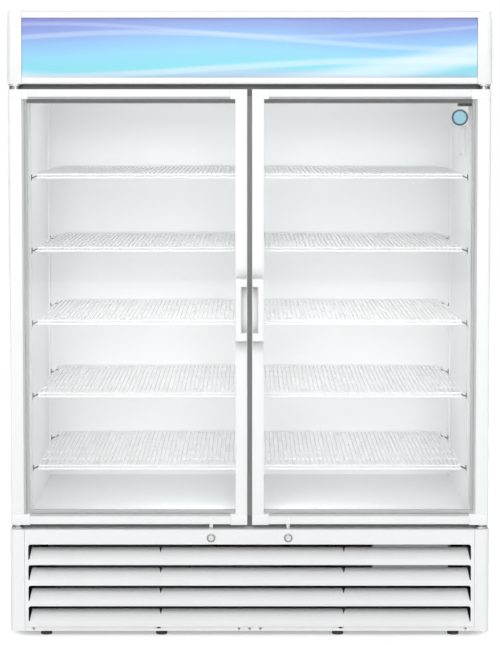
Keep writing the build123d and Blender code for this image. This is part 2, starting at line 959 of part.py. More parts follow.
def pilaster(x, y, slots_along_x):
    """A slotted strip, with its slots cut through its thin way."""
    z = (floor_z + pilaster_margin, opening_top - pilaster_margin)
    strip = block(x, y, z)
    count = floor((z[1] - z[0]) / pilaster_pitch) - 1
    middle = Pos((x[0] + x[1]) / 2, (y[0] + y[1]) / 2, (z[0] + z[1]) / 2)
    if slots_along_x:
        tool = Box(pilaster_plate * 2, pilaster_slot, pilaster_slot_height)
    else:
        tool = Box(pilaster_slot, pilaster_plate * 2, pilaster_slot_height)
    first = -(count - 1) / 2 * pilaster_pitch
    cuts = [middle * Pos(0, 0, first + i * pilaster_pitch) * tool for i in range(count)]
    return strip - cuts


def shelf_pilasters():
    """Two strips on each side wall, two on the centre upright and two on the back wall."""
    side_x = (inner_half - pilaster_plate, inner_half)
    strips = []
    for y in (front_post_y, rear_post_y):
        span = (y - pilaster_width / 2, y + pilaster_width / 2)
        strips += both_sides(pilaster(side_x, span, True))
    inner_x = (pilaster_play, pilaster_play + pilaster_width)
    front = front_y + mullion_depth
    for span in ((front, front + pilaster_plate), (inner_back_y - pilaster_plate, inner_back_y)):
        strips += both_sides(pilaster(inner_x, span, False))
    return group(strips)


def shelf_clips():
    """Hooks that carry the four corners of every shelf."""
    hooks = []
    wall_x = inner_half - pilaster_plate
    inner_x = (shelf_inner + 2, shelf_inner + 2 + clip_width)
    for level in range(shelf_levels):
        under = shelf_deck_z(level) - wire
        lip = under - lip_drop
        for y in (front_post_y, rear_post_y):
            span = (y - clip_width / 2, y + clip_width / 2)
            hook = block((wall_x - clip_reach, wall_x), span, (under - clip_plate, under))
            hook += block((wall_x - clip_plate, wall_x), span, (under - clip_drop, under))
            hooks += both_sides(hook)
        near = front_y + mullion_depth + pilaster_plate
        hook = block(inner_x, (near, near + clip_reach), (lip - clip_plate, lip))
        leg = block(inner_x, (near, near + clip_plate), (lip - clip_drop, lip))
        hooks += both_sides(hook + leg)
        far = inner_back_y - pilaster_plate
        hook = block(inner_x, (far - clip_reach, far), (under - clip_plate, under))
        leg = block(inner_x, (far - clip_plate, far), (under - clip_drop, under))
        hooks += both_sides(hook + leg)
    return group(hooks)


# Lamp switch and air sensor

def switch_box_x():
    return (inner_half - switch_width, inner_half)


def rocker_centre():
    x = sum(switch_box_x()) / 2
    return x, foam_front_y + rocker_depth / 2, opening_top - switch_height / 2


def lamp_switch_box():
    """A dark box under the head of the opening, with a window for the rocker."""
    y = (foam_front_y, foam_front_y + switch_depth)
    box = block(switch_box_x(), y, (opening_top - switch_height, opening_top))
    x, mid_y, z = rocker_centre()
    half = rocker_width / 2 + 0.5
    tall = rocker_height / 2 + 1.0
    deep = (y[0], y[0] + rocker_depth + 5)
    box -= block((x - half, x + half), deep, (z - tall, z + tall))
    hole = rocker_pin + rocker_play
    return box - rod_x(hole, mid_y, z, (x - half - 4, x + half + 4))


def lamp_switch_rocker():
    """A rocker on two short pins, with its lower end pressed in."""
    x, y, z = rocker_centre()
    key = Box(rocker_width, rocker_depth, rocker_height)
    key = Rot(rocker_tilt, 0, 0) * key
    half = rocker_width / 2
    return Pos(x, y, z) * key + rod_x(rocker_pin, y, z, (x - half - 3, x + half + 3))


def sensor_cover():
    """A shallow vented cover on the right wall."""
    x = (inner_half - sensor_depth, inner_half)
    y = (front_y + sensor_from_front, front_y + sensor_from_front + sensor_width)
    z = (sensor_level, sensor_level + sensor_height)
    cover = block(x, y, z)
    cover = chamfer(cover.edges().group_by(Axis.X)[0], sensor_depth / 3)
    hollow = block(
        (x[0] + cap_wall * 2, x[1]),
        (y[0] + cap_wall * 3, y[1] - cap_wall * 3),
        (z[0] + cap_wall * 3, z[1] - cap_wall * 3),
    )
    return cover - hollow


# Cooling unit above the shelves

def evaporator_cover():
    """A folded sheet under and in front of the coil, with two fan openings."""
    x = around_zero(inner_half)
    deep = (cover_y, inner_back_y)
    cover = block(x, deep, (cover_z, cover_z + cover_plate))
    front = (cover_y, cover_y + cover_plate)
    cover += block(x, front, (cover_z, ceiling_z))
    hole = evaporator_fan_radius + fan_hole_play
    for side in (-evaporator_fan_x, evaporator_fan_x):
        cover -= rod_y(hole, side, evaporator_fan_z, front)
        for ring in (hole * 0.35, hole * 0.7):
            guard = rod_y(ring + fan_guard_ring / 2, side, evaporator_fan_z, front)
            cover += guard - rod_y(ring - fan_guard_ring / 2, side, evaporator_fan_z, front)
        for turn in (0, 60, 120):
            spoke = Box(2 * hole, cover_plate, fan_guard_ring)
            middle = Pos(side, cover_y + cover_plate / 2, evaporator_fan_z)
            cover += middle * Rot(0, turn, 0) * spoke
    return cover


def finned_block(x, y, z, along_x):
    """A block of fins and tubes, with grooves between the fins on both faces."""
    body = block(x, y, z)
    count = floor((x[1] - x[0]) / fin_pitch) - 1
    middle = (x[0] + x[1]) / 2
    first = middle - (count - 1) / 2 * fin_pitch
    cuts = []
    for i in range(count):
        at = first + i * fin_pitch
        span = (at - fin_gap / 2, at + fin_gap / 2)
        cuts.append(block(span, (y[0], y[0] + fin_cut), (z[0] + fin_cut, z[1] - fin_cut)))
        cuts.append(block(span, (y[1] - fin_cut, y[1]), (z[0] + fin_cut, z[1] - fin_cut)))
    return body - cuts


def evaporator_coil():
    half = coil_width / 2
    z = (coil_z, coil_z + coil_height)
    return finned_block((-half, half), (coil_y, coil_y + coil_depth), z, True)


def pan_span():
    half = coil_width / 2 + pan_rim
    return (-half, half), (coil_y - pan_rim, coil_y + coil_depth + pan_rim)


def evaporator_drain():
    """The tray under the coil, and the hose that takes its water down the back wall."""
    x, y = pan_span()
    z = (pan_z, pan_z + pan_plate + pan_depth)
    tray = block(x, y, z)
    inside_x = (x[0] + pan_plate, x[1] - pan_plate)
    inside_y = (y[0] + pan_plate, y[1] - pan_plate)
    tray -= block(inside_x, inside_y, (z[0] + pan_plate, z[1]))
    mid_z = pan_z + drain_radius
    spout = rod_y(drain_radius, drain_x, mid_z, (y[1], y[1] + stub_length))
    hose = tube(
        [
            (drain_x, y[1] + stub_length, mid_z),
            (drain_x, chase_mid_y, mid_z),
            (drain_x, chase_mid_y, base_top + catch_height - 10),
        ],
        drain_radius,
        pipe_bend / 2,
    )
    return group([tray + spout, hose])


# Fans

def fan(x, z, y, radius):
    """A bladed wheel on a bored hub, turning about Y."""
    hub = rod_y(fan_hub, x, z, y)
    blade = Box(radius - fan_hub + 4, fan_sheet, radius * 0.55)
    reach = fan_hub - 4 + (radius - fan_hub + 4) / 2
    blade = Pos(reach, 0, 0) * Rot(fan_pitch, 0, 0) * blade
    tips = rod_y(radius, x, z, y)
    wheel = hub
    middle = Pos(x, (y[0] + y[1]) / 2, z)
    for i in range(fan_blades):
        wheel += (middle * Rot(0, i * 360 / fan_blades, 0) * blade) & tips
    return wheel - rod_y(shaft + shaft_play, x, z, y)


def fan_motor(x, z, plate_y, fan_y, radius):
    """A motor on a bracket that spans its fan, with the shaft that carries the fan."""
    bracket_y = fan_y[1] + fan_gap
    motor = rod_y(motor_radius, x, z, (bracket_y + bracket_plate, bracket_y + motor_length))
    reach = radius + fan_hole_play + 8
    strip_z = (z - bracket_width / 2, z + bracket_width / 2)
    strip_y = (bracket_y, bracket_y + bracket_plate)
    motor += block((x - reach, x + reach), strip_y, strip_z)
    for side in (x - reach, x + reach - bracket_plate):
        leg = (side, side + bracket_plate)
        motor += block(leg, (plate_y, bracket_y + bracket_plate), strip_z)
    return motor + rod_y(shaft, x, z, (fan_y[0] - 1, bracket_y))


def evaporator_fan_y():
    front = cover_y + cover_plate + fan_gap
    return (front, front + fan_thick)


def condenser_fan_y():
    front = shroud_back_y + fan_gap
    return (front, front + fan_thick)


def fan_motors():
    motors = []
    for x in (-evaporator_fan_x, evaporator_fan_x):
        y = evaporator_fan_y()
        plate_y = cover_y + cover_plate
        motors.append(fan_motor(x, evaporator_fan_z, plate_y, y, evaporator_fan_radius))
    y = condenser_fan_y()
    motors.append(
        fan_motor(condenser_x, condenser_fan_z, shroud_back_y, y, condenser_fan_radius)
    )
    return group(motors)


# Condensing unit

def condenser_coil():
    x = (condenser_x - condenser_width / 2, condenser_x + condenser_width / 2)
    y = (condenser_y, condenser_y + condenser_depth)
    return finned_block(x, y, (base_top, base_top + condenser_height), True)


def condenser_shroud():
    """A duct from the coil to a round fan opening."""
    x = (condenser_x - condenser_width / 2, condenser_x + condenser_width / 2)
    y = (condenser_y + condenser_depth, shroud_back_y)
    z = (base_top, base_top + condenser_height)
    duct = block(x, y, z)
    duct -= block(
        (x[0] + shroud_plate, x[1] - shroud_plate),
        (y[0], y[1] - shroud_plate),
        (z[0] + shroud_plate, z[1] - shroud_plate),
    )
    hole = condenser_fan_radius + fan_hole_play
    return duct - rod_y(hole, condenser_x, condenser_fan_z, y)


def compressor_feet():
    x = (compressor_x - compressor_foot, compressor_x + compressor_foot)
    y = (compressor_y - compressor_foot * 0.7, compressor_y + compressor_foot * 0.7)
    return [(a, b) for a in x for b in y]


def compressor():
    """A sealed steel shell on a foot plate, with two pipe stubs."""
    low = compressor_base + compressor_foot_plate
    shell = rod_z(compressor_radius, compressor_x, compressor_y, (low, low + compressor_height))
    shell = fillet(shell.edges().sort_by(Axis.Z)[-1], compressor_round)
    edge = compressor_foot + grommet_radius
    deep = compressor_foot * 0.7 + grommet_radius
    plate = block(
        (compressor_x - edge, compressor_x + edge),
        (compressor_y - deep, compressor_y + deep),
        (compressor_base, low),
    )
    for x, y in compressor_feet():
        plate -= rod_z(grommet_neck, x, y, (compressor_base, low))
    out = compressor_radius + stub_length
    z = stub_z()
    shell += rod_x(suction_radius, compressor_y, z, (compressor_x, compressor_x + out))
    shell += rod_x(liquid_radius, compressor_y, z, (compressor_x - out, compressor_x))
    return shell + plate


def stub_z():
    return compressor_base + compressor_height * 0.6


def compressor_mounts():
    """Rubber bushes under the compressor's foot plate."""
    bushes = []
    top = compressor_base + compressor_foot_plate
    for x, y in compressor_feet():
        bush = rod_z(grommet_radius, x, y, (base_top, compressor_base))
        bush += rod_z(grommet_neck, x, y, (compressor_base, top))
        bushes.append(bush + rod_z(grommet_neck * 1.8, x, y, (top, top + 3)))
    return group(bushes)


def refrigerant_pipes():
    """Discharge, suction and liquid lines, with the drier in the liquid line."""
    out = compressor_radius + stub_length
    z = stub_z()
    end_x = condenser_x + condenser_width / 2
    coil_end = coil_width / 2
    condenser_mid_y = condenser_y + condenser_depth / 2
    turn_x = (end_x + compressor_x - out) / 2
    discharge = tube(
        [
            (compressor_x - out, compressor_y, z),
            (turn_x, compressor_y, z),
            (turn_x, condenser_mid_y, z),
            (end_x, condenser_mid_y, z),
        ],
        liquid_radius,
        pipe_bend,
    )
    suction_y = coil_y + coil_depth * 0.7
    suction_z = coil_z + coil_height * 0.25
    suction = tube(
        [
            (coil_end, suction_y, suction_z),
            (suction_x, suction_y, suction_z),
            (suction_x, chase_mid_y, suction_z),
            (suction_x, chase_mid_y, z),
            (suction_x, compressor_y, z),
            (compressor_x + out, compressor_y, z),
        ],
        suction_radius,
        pipe_bend / 2,
    )
    liquid_y = coil_y + coil_depth * 0.3
    liquid_z = coil_z + coil_height * 0.5
    low_x = end_x + (turn_x - end_x) / 2
    low_y = compressor_y + compressor_radius + stub_length + pipe_bend
    low_z = base_top + condenser_height / 3
    liquid = tube(
        [
            (coil_end, liquid_y, liquid_z),
            (liquid_x, liquid_y, liquid_z),
            (liquid_x, chase_mid_y, liquid_z),
            (liquid_x, chase_mid_y, low_z),
            (liquid_x, low_y, low_z),
            (low_x, low_y, low_z),
            (low_x, condenser_mid_y, low_z),
            (end_x, condenser_mid_y, low_z),
        ],
        liquid_radius,
        pipe_bend / 2,
    )
    drier_y = (compressor_y - drier_length, compressor_y)
    liquid += rod_y(drier_radius, low_x, low_z, drier_y)
    return group([discharge, suction, liquid])


def condensate_pan():
    """The open tray that the drain hose empties into."""
    x = (chase_x - catch_width / 2, chase_x + catch_width / 2)
    back = back_y - rear_setback - sheet - 4
    y = (back - catch_depth, back)
    z = (base_top, base_top + catch_height)
    tray = block(x, y, z)
    return tray - block(
        (x[0] + catch_plate, x[1] - catch_plate),
        (y[0] + catch_plate, y[1] - catch_plate),
        (z[0] + catch_plate, z[1]),
    )


def control_box():
    """A hanging box for the controller and the mains terminals, open to the deck above."""
    x = (control_x - control_width / 2, control_x + control_width / 2)
    y = (foam_front_y + upright, foam_front_y + upright + control_depth)
    z = (bay_top - control_height, bay_top)
    box = block(x, y, z)
    return box - block(
        (x[0] + control_plate, x[1] - control_plate),
        (y[0] + control_plate, y[1] - control_plate),
        (z[0] + control_plate, z[1]),
    )


def rear_y():
    return (back_y - rear_setback - sheet, back_y - rear_setback)


def gland_z():
    return base_top + (bay_top - base_top) / 3


def rear_grille():
    """The slotted cover behind the condensing unit."""
    y = rear_y()
    cover = block(around_zero(skin_in), y, (base_top, bay_top))
    middle_z = (base_top + bay_top) / 2
    for x in (-rear_slot_width * 0.75, rear_slot_width * 0.75):
        for i in range(rear_slots):
            z = middle_z + (i - (rear_slots - 1) / 2) * rear_slot_pitch
            cover -= block(
                (x - rear_slot_width / 2, x + rear_slot_width / 2),
                y,
                (z - rear_slot_height / 2, z + rear_slot_height / 2),
            )
    return cover - rod_y(gland_radius, gland_x, gland_z(), y)


def power_inlet():
    """The gland that the mains lead would enter through."""
    y = rear_y()
    body = rod_y(gland_radius, gland_x, gland_z(), (y[0] - 14, y[1]))
    body += rod_y(gland_flange, gland_x, gland_z(), (y[1], y[1] + 5))
    return body - rod_y(gland_bore, gland_x, gland_z(), (y[0] - 14, y[1] + 5))


# Every node of the assembly

right_frame = door_frame()
right_glass = door_glass()
right_gasket = door_gasket()
right_handle = door_handle()
lowest = wire_shelf(0)
right_shelves = group(
    [Pos(0, 0, i * shelf_pitch) * piece for i in range(shelf_levels) for piece in lowest]
)
side = side_panel()

nodes = {
    "base_frame": base_frame(),
    "panel_screws": panel_screws(),
    "left_side_panel": other_side(side),
    "right_side_panel": side,
    "back_panel": back_panel(),
    "top_panel": top_panel(),
    "cabinet_bottom": cabinet_bottom(),
    "insulation": insulation(),
    "inner_liner": inner_liner(),
    "front_trim": front_trim(),
    "centre_mullion": centre_mullion(),
    "header_housing": header_housing(),
    "header_end_caps": group(both_sides(header_end_cap())),
    "sign_panel": sign_panel(),
    "led_lamps": led_lamps(),
    "corner_posts": group(both_sides(corner_post())),
    "grille_panel": grille_panel(),
    "lock_shells": group([lock_shell(-lock_x), lock_shell(lock_x)]),
    "left_lock_barrel": lock_barrel_piece(-lock_x),
    "right_lock_barrel": lock_barrel_piece(lock_x),
    "left_lock_bolt": lock_bolt(-lock_x),
    "right_lock_bolt": lock_bolt(lock_x),
    "hinge_brackets": hinge_brackets(),
    "left_door_frame": other_side(right_frame),
    "left_door_glass": other_side(right_glass),
    "left_door_gasket": other_side(right_gasket),
    "left_door_handle": other_side(right_handle),
    "right_door_frame": right_frame,
    "right_door_glass": right_glass,
    "right_door_gasket": right_gasket,
    "right_door_handle": right_handle,
    "left_shelves": other_side(right_shelves),
    "right_shelves": right_shelves,
    "shelf_pilasters": shelf_pilasters(),
    "shelf_clips": shelf_clips(),
    "lamp_switch_box": lamp_switch_box(),
    "lamp_switch_rocker": lamp_switch_rocker(),
    "sensor_cover": sensor_cover(),
    "evaporator_cover": evaporator_cover(),
    "evaporator_coil": evaporator_coil(),
    "evaporator_drain": evaporator_drain(),
    "fan_motors": fan_motors(),
    "left_evaporator_fan": fan(
        -evaporator_fan_x, evaporator_fan_z, evaporator_fan_y(), evaporator_fan_radius
    ),
    "right_evaporator_fan": fan(
        evaporator_fan_x, evaporator_fan_z, evaporator_fan_y(), evaporator_fan_radius
    ),
    "condenser_fan": fan(
        condenser_x, condenser_fan_z, condenser_fan_y(), condenser_fan_radius
    ),
    "condenser_coil": condenser_coil(),
    "condenser_shroud": condenser_shroud(),
    "compressor": compressor(),
    "compressor_mounts": compressor_mounts(),
    "refrigerant_pipes": refrigerant_pipes(),
    "condensate_pan": condensate_pan(),
    "control_box": control_box(),
    "rear_grille": rear_grille(),
    "power_inlet": power_inlet(),
}
for number, place in enumerate(foot_places(), start=1):
    nodes[f"levelling_foot_{number}"] = levelling_foot(place)

os.makedirs("parts", exist_ok=True)
for name, shape in nodes.items():
    export_step(shape, f"parts/{name}.step")
print(len(nodes), "nodes written")
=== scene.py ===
import bpy, bmesh, json, math
from mathutils import Vector, Matrix

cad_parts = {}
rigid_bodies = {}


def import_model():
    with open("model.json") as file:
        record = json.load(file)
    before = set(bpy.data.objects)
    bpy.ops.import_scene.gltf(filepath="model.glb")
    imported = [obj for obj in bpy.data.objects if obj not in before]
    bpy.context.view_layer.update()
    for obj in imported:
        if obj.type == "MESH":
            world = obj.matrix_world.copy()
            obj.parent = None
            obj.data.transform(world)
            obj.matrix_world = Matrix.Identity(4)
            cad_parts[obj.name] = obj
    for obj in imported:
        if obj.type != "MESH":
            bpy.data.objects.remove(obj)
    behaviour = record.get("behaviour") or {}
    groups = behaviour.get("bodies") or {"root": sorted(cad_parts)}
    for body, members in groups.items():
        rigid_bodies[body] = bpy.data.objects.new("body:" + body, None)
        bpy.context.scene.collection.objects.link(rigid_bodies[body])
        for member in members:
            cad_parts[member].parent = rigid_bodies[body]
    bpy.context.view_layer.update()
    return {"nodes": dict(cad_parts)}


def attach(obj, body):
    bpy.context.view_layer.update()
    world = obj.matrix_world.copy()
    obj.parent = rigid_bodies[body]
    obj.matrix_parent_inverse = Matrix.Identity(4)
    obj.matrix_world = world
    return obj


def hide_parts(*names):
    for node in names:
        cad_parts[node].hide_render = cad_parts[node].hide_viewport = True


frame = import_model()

scene = bpy.context.scene
scene.view_settings.view_transform = "Standard"

# Studio
# A pale floor, a large soft lamp over the front, a low one ahead, one at each side of the back,
# and a surround that looks white and lights the sides least. The camera stands at eye height
# with a long lens, tipped 3 degrees down, and its film is moved down a little.
eye_height, eye_distance, tipped_down = 1.52, 5.986, 3.214
camera = bpy.data.objects.new("camera", bpy.data.cameras.new("camera"))
camera.location = (0.001, -eye_distance, eye_height)
camera.rotation_euler = (math.radians(90 - tipped_down), 0, 0)
camera.data.lens = 110.27
camera.data.sensor_width = 36
camera.data.shift_y = -0.16
scene.collection.objects.link(camera)
scene.camera = camera


def soft_lamp(name, place, aim, width, height, power):
    """A rectangular lamp turned towards a point."""
    lamp = bpy.data.lights.new(name, "AREA")
    lamp.shape = "RECTANGLE"
    lamp.size = width
    lamp.size_y = height
    lamp.energy = power
    thing = bpy.data.objects.new(name, lamp)
    thing.location = place
    turn = (Vector(aim) - Vector(place)).to_track_quat("-Z", "Y")
    thing.rotation_euler = turn.to_euler()
    scene.collection.objects.link(thing)
    return thing


key_watts, front_watts, rear_watts = 1340, 330, 360
soft_lamp("key_lamp", (-0.8, -12.4, 11.8), (0, 0, 0.6), 8.0, 7.0, key_watts)
soft_lamp("front_lamp", (0, -10.5, 3.1), (0, 0, 0.3), 5.0, 1.6, front_watts)
for side in (-1, 1):
    soft_lamp(f"rear_lamp_{side}", (side * 6, 5, 4.5), (0, 0, 0.9), 2.6, 2.6, rear_watts)


def seen_white(tree):
    """One where a ray comes from the camera, from a glossy surface or through glass."""
    path = tree.nodes.new("ShaderNodeLightPath")
    gloss = tree.nodes.new("ShaderNodeMath")
    gloss.operation = "MAXIMUM"
    tree.links.new(path.outputs["Is Camera Ray"], gloss.inputs[0])
    tree.links.new(path.outputs["Is Glossy Ray"], gloss.inputs[1])
    clear = tree.nodes.new("ShaderNodeMath")
    clear.operation = "MAXIMUM"
    tree.links.new(gloss.outputs[0], clear.inputs[0])
    tree.links.new(path.outputs["Is Transmission Ray"], clear.inputs[1])
    return clear.outputs[0]


surround_light, fades_from, fades_to = 0.24, 0.4, 0.9
world = bpy.data.worlds.new("surround")
world.use_nodes = True
scene.world = world
tree = world.node_tree
tree.nodes.clear()
dim = tree.nodes.new("ShaderNodeBackground")
dim.inputs["Color"].default_value = (1, 1, 1, 1)
bright = tree.nodes.new("ShaderNodeBackground")
bright.inputs["Color"].default_value = (1, 1, 1, 1)
bright.inputs["Strength"].default_value = 1.0
ray = tree.nodes.new("ShaderNodeTexCoord")
parts = tree.nodes.new("ShaderNodeSeparateXYZ")
tree.links.new(ray.outputs["Generated"], parts.inputs[0])
aside = tree.nodes.new("ShaderNodeMath")
aside.operation = "ABSOLUTE"
tree.links.new(parts.outputs["X"], aside.inputs[0])
fall = tree.nodes.new("ShaderNodeMapRange")
fall.inputs["From Min"].default_value = fades_from
fall.inputs["From Max"].default_value = fades_to
fall.inputs["To Min"].default_value = surround_light
fall.inputs["To Max"].default_value = 0.0
tree.links.new(aside.outputs[0], fall.inputs["Value"])
tree.links.new(fall.outputs["Result"], dim.inputs["Strength"])
choose = tree.nodes.new("ShaderNodeMixShader")
tree.links.new(seen_white(tree), choose.inputs[0])
tree.links.new(dim.outputs[0], choose.inputs[1])
tree.links.new(bright.outputs[0], choose.inputs[2])
out = tree.nodes.new("ShaderNodeOutputWorld")
tree.links.new(choose.outputs[0], out.inputs[0])

floor_half, floor_tone = 12, 0.86
near_floor, far_floor, near_glow = 1.5, 5, 0.4
bm = bmesh.new()
bmesh.ops.create_grid(bm, x_segments=1, y_segments=1, size=floor_half)
mesh = bpy.data.meshes.new("floor")
bm.to_mesh(mesh)
bm.free()
floor = bpy.data.objects.new("floor", mesh)
scene.collection.objects.link(floor)
pale = bpy.data.materials.new("pale_floor")
pale.use_nodes = True
tree = pale.node_tree
tree.nodes.clear()
matt = tree.nodes.new("ShaderNodeBsdfDiffuse")
matt.inputs["Color"].default_value = (floor_tone, floor_tone, floor_tone, 1)
dark = tree.nodes.new("ShaderNodeEmission")
dark.inputs["Strength"].default_value = 0.0
glow = tree.nodes.new("ShaderNodeEmission")
place = tree.nodes.new("ShaderNodeTexCoord")
away = tree.nodes.new("ShaderNodeVectorMath")
away.operation = "LENGTH"
tree.links.new(place.outputs["Object"], away.inputs[0])
far = tree.nodes.new("ShaderNodeMapRange")
far.inputs["From Min"].default_value = near_floor
far.inputs["From Max"].default_value = far_floor
far.inputs["To Min"].default_value = near_glow
far.inputs["To Max"].default_value = 1
tree.links.new(away.outputs["Value"], far.inputs["Value"])
tree.links.new(far.outputs["Result"], glow.inputs["Strength"])
lift = tree.nodes.new("ShaderNodeMixShader")
tree.links.new(seen_white(tree), lift.inputs[0])
tree.links.new(dark.outputs[0], lift.inputs[1])
tree.links.new(glow.outputs[0], lift.inputs[2])
both = tree.nodes.new("ShaderNodeAddShader")
tree.links.new(matt.outputs[0], both.inputs[0])
tree.links.new(lift.outputs[0], both.inputs[1])
out = tree.nodes.new("ShaderNodeOutputMaterial")
tree.links.new(both.outputs[0], out.inputs[0])
mesh.materials.append(pale)

# Levelling feet
# Six black moulded pads on zinc studs that screw up into the base: four along the front
# and one under each back corner. A pad is turned, with a soft upper edge and a waist.


def finish(name, colour, second, patch, rough, grain, relief, metal=0.0):
    """Two close tones in soft patches, with a fine grain in the gloss and the relief."""
    mat = bpy.data.materials.new(name)
    mat.use_nodes = True
    nodes, links = mat.node_tree.nodes, mat.node_tree.links
    shader = nodes["Principled BSDF"]
    shader.inputs["Metallic"].default_value = metal
    place = nodes.new("ShaderNodeTexCoord")
    patches = nodes.new("ShaderNodeTexNoise")
    patches.inputs["Scale"].default_value = patch
    patches.inputs["Detail"].default_value = 3
    links.new(place.outputs["Object"], patches.inputs["Vector"])
    tones = nodes.new("ShaderNodeMix")
    tones.data_type = "RGBA"
    tones.inputs[6].default_value = (*colour, 1)
    tones.inputs[7].default_value = (*second, 1)
    links.new(patches.outputs["Fac"], tones.inputs[0])
    links.new(tones.outputs[2], shader.inputs["Base Color"])
    fine = nodes.new("ShaderNodeTexNoise")
    fine.inputs["Scale"].default_value = grain
    fine.inputs["Detail"].default_value = 2
    links.new(place.outputs["Object"], fine.inputs["Vector"])
    gloss = nodes.new("ShaderNodeMapRange")
    gloss.inputs["To Min"].default_value = rough[0]
    gloss.inputs["To Max"].default_value = rough[1]
    links.new(fine.outputs["Fac"], gloss.inputs["Value"])
    links.new(gloss.outputs["Result"], shader.inputs["Roughness"])
    bump = nodes.new("ShaderNodeBump")
    bump.inputs["Strength"].default_value = relief
    bump.inputs["Distance"].default_value = 0.0002
    links.new(fine.outputs["Fac"], bump.inputs["Height"])
    links.new(bump.outputs["Normal"], shader.inputs["Normal"])
    return mat


def piece(name, bm, body, mat, slot, *replaced):
    """Turns a mesh drawn in millimetres into a finished piece that rides on its body."""
    bmesh.ops.scale(bm, vec=(0.001, 0.001, 0.001), verts=bm.verts)
    mesh = bpy.data.meshes.new(name)
    bm.to_mesh(mesh)
    bm.free()
    mesh.shade_smooth()
    mesh.set_sharp_from_angle(angle=math.radians(35))
    mesh.materials.append(mat)
    thing = bpy.data.objects.new(name, mesh)
    scene.collection.objects.link(thing)
    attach(thing, body)
    if replaced:
        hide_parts(*replaced)
    return thing


def coat(mat, *names):
    """Gives a finish to whole pieces that keep their own shape."""
    for name in names:
        for slot in frame["nodes"][name].material_slots:
            slot.material = mat


def turned(bm, outline, x, y, z, axis, steps=32):
    """Turns an outline of (radius, distance along the Y or Z axis) all the way round."""
    side = Vector((1, 0, 0))
    along = Vector((0, 1, 0)) if axis == "Y" else Vector((0, 0, 1))
    centre = Vector((x, y, z))
    verts = [bm.verts.new(centre + side * r + along * d) for r, d in outline]
    edges = [bm.edges.new(pair) for pair in zip(verts, verts[1:])]
    bmesh.ops.spin(
        bm, geom=verts + edges, cent=centre, axis=along, angle=math.tau, steps=steps, use_merge=True
    )
    bmesh.ops.remove_doubles(bm, verts=bm.verts[:], dist=0.001)
    bmesh.ops.recalc_face_normals(bm, faces=bm.faces)


foot_rubber = finish(
    "foot_black", (0.018, 0.018, 0.019), (0.03, 0.03, 0.031), 60, (0.5, 0.7), 900, 0.3
)
front_row, back_row, outer_foot, middle_foot = -332, 370, 589, 255
foot_places = [(x, front_row) for x in (-outer_foot, -middle_foot, middle_foot, outer_foot)]
foot_places += [(-outer_foot, back_row), (outer_foot, back_row)]
for number, (x, y) in enumerate(foot_places, start=1):
    bm = bmesh.new()
    turned(
        bm,
        [(0, 0), (15.8, 0), (16.5, 0.8), (16.5, 6.2), (15.6, 8.2), (13.8, 9), (9.5, 9.2),
         (8, 10), (8, 13.6), (5, 13.7), (5, 33), (4, 34), (0, 34)],
        x, y, 0, "Z",
    )
    name = f"levelling_foot_{number}"
    piece(f"foot_{number}", bm, name, foot_rubber, "foot_black", name)

# Base and outer case
# Folded sheet steel, powder-coated white outside: the tray with its uprights, the side, back
# and top panels. Behind its front strip the tray is painted near black, a painted shade for the
# dark machine space seen through the louvres. The plate under the cold space and the rear cover
# are bare zinc-coated steel.
fully_hidden, fully_open = 0.25, 0.98


def painted_hollow_shade(mat, reach, darkest, own=True):
    """Painted shade: a finish darker deep in gaps and folds, its own or those beside any piece."""
    nodes, links = mat.node_tree.nodes, mat.node_tree.links
    base = nodes["Principled BSDF"].inputs["Base Color"]
    tone = base.links[0].from_socket
    hollow = nodes.new("ShaderNodeAmbientOcclusion")
    hollow.samples = 4
    hollow.only_local = own
    hollow.inputs["Distance"].default_value = reach
    level = nodes.new("ShaderNodeMapRange")
    level.inputs["From Min"].default_value = fully_hidden
    level.inputs["From Max"].default_value = fully_open
    level.inputs["To Min"].default_value = darkest
    links.new(hollow.outputs["AO"], level.inputs["Value"])
    shade = nodes.new("ShaderNodeVectorMath")
    shade.operation = "SCALE"
    links.new(tone, shade.inputs[0])
    links.new(level.outputs["Result"], shade.inputs["Scale"])
    links.new(shade.outputs[0], base)


white_steel = finish(
    "white_powder_coat", (0.84, 0.845, 0.85), (0.80, 0.805, 0.812), 3, (0.32, 0.42), 700, 0.12
)
# Painted shade in the white coat's own folds and recesses, darkest at the top of each louvre.
painted_hollow_shade(white_steel, 0.09, 0.1)
zinc_steel = finish(
    "zinc_coated_sheet", (0.56, 0.57, 0.58), (0.44, 0.45, 0.47), 45, (0.32, 0.48), 300, 0.1, 0.85
)
coat(white_steel, "left_side_panel", "right_side_panel", "back_panel", "top_panel")
# Painted shade: behind the front strip the tray's colour turns near black.
strip_back = -0.354
base_steel = white_steel.copy()
base_steel.name = "base_powder_coat"
nodes, links = base_steel.node_tree.nodes, base_steel.node_tree.links
base = nodes["Principled BSDF"].inputs["Base Color"]
place = nodes.new("ShaderNodeTexCoord")
split = nodes.new("ShaderNodeSeparateXYZ")
links.new(place.outputs["Object"], split.inputs[0])
behind = nodes.new("ShaderNodeMath")
behind.operation = "GREATER_THAN"
behind.inputs[1].default_value = strip_back
links.new(split.outputs[1], behind.inputs[0])
painted_shade_behind = nodes.new("ShaderNodeMix")
painted_shade_behind.data_type = "RGBA"
painted_shade_behind.inputs[7].default_value = (0.05, 0.052, 0.055, 1)
links.new(behind.outputs[0], painted_shade_behind.inputs[0])
links.new(base.links[0].from_socket, painted_shade_behind.inputs[6])
links.new(painted_shade_behind.outputs[2], base)
coat(base_steel, "base_frame")
coat(zinc_steel, "cabinet_bottom", "rear_grille", "control_box")


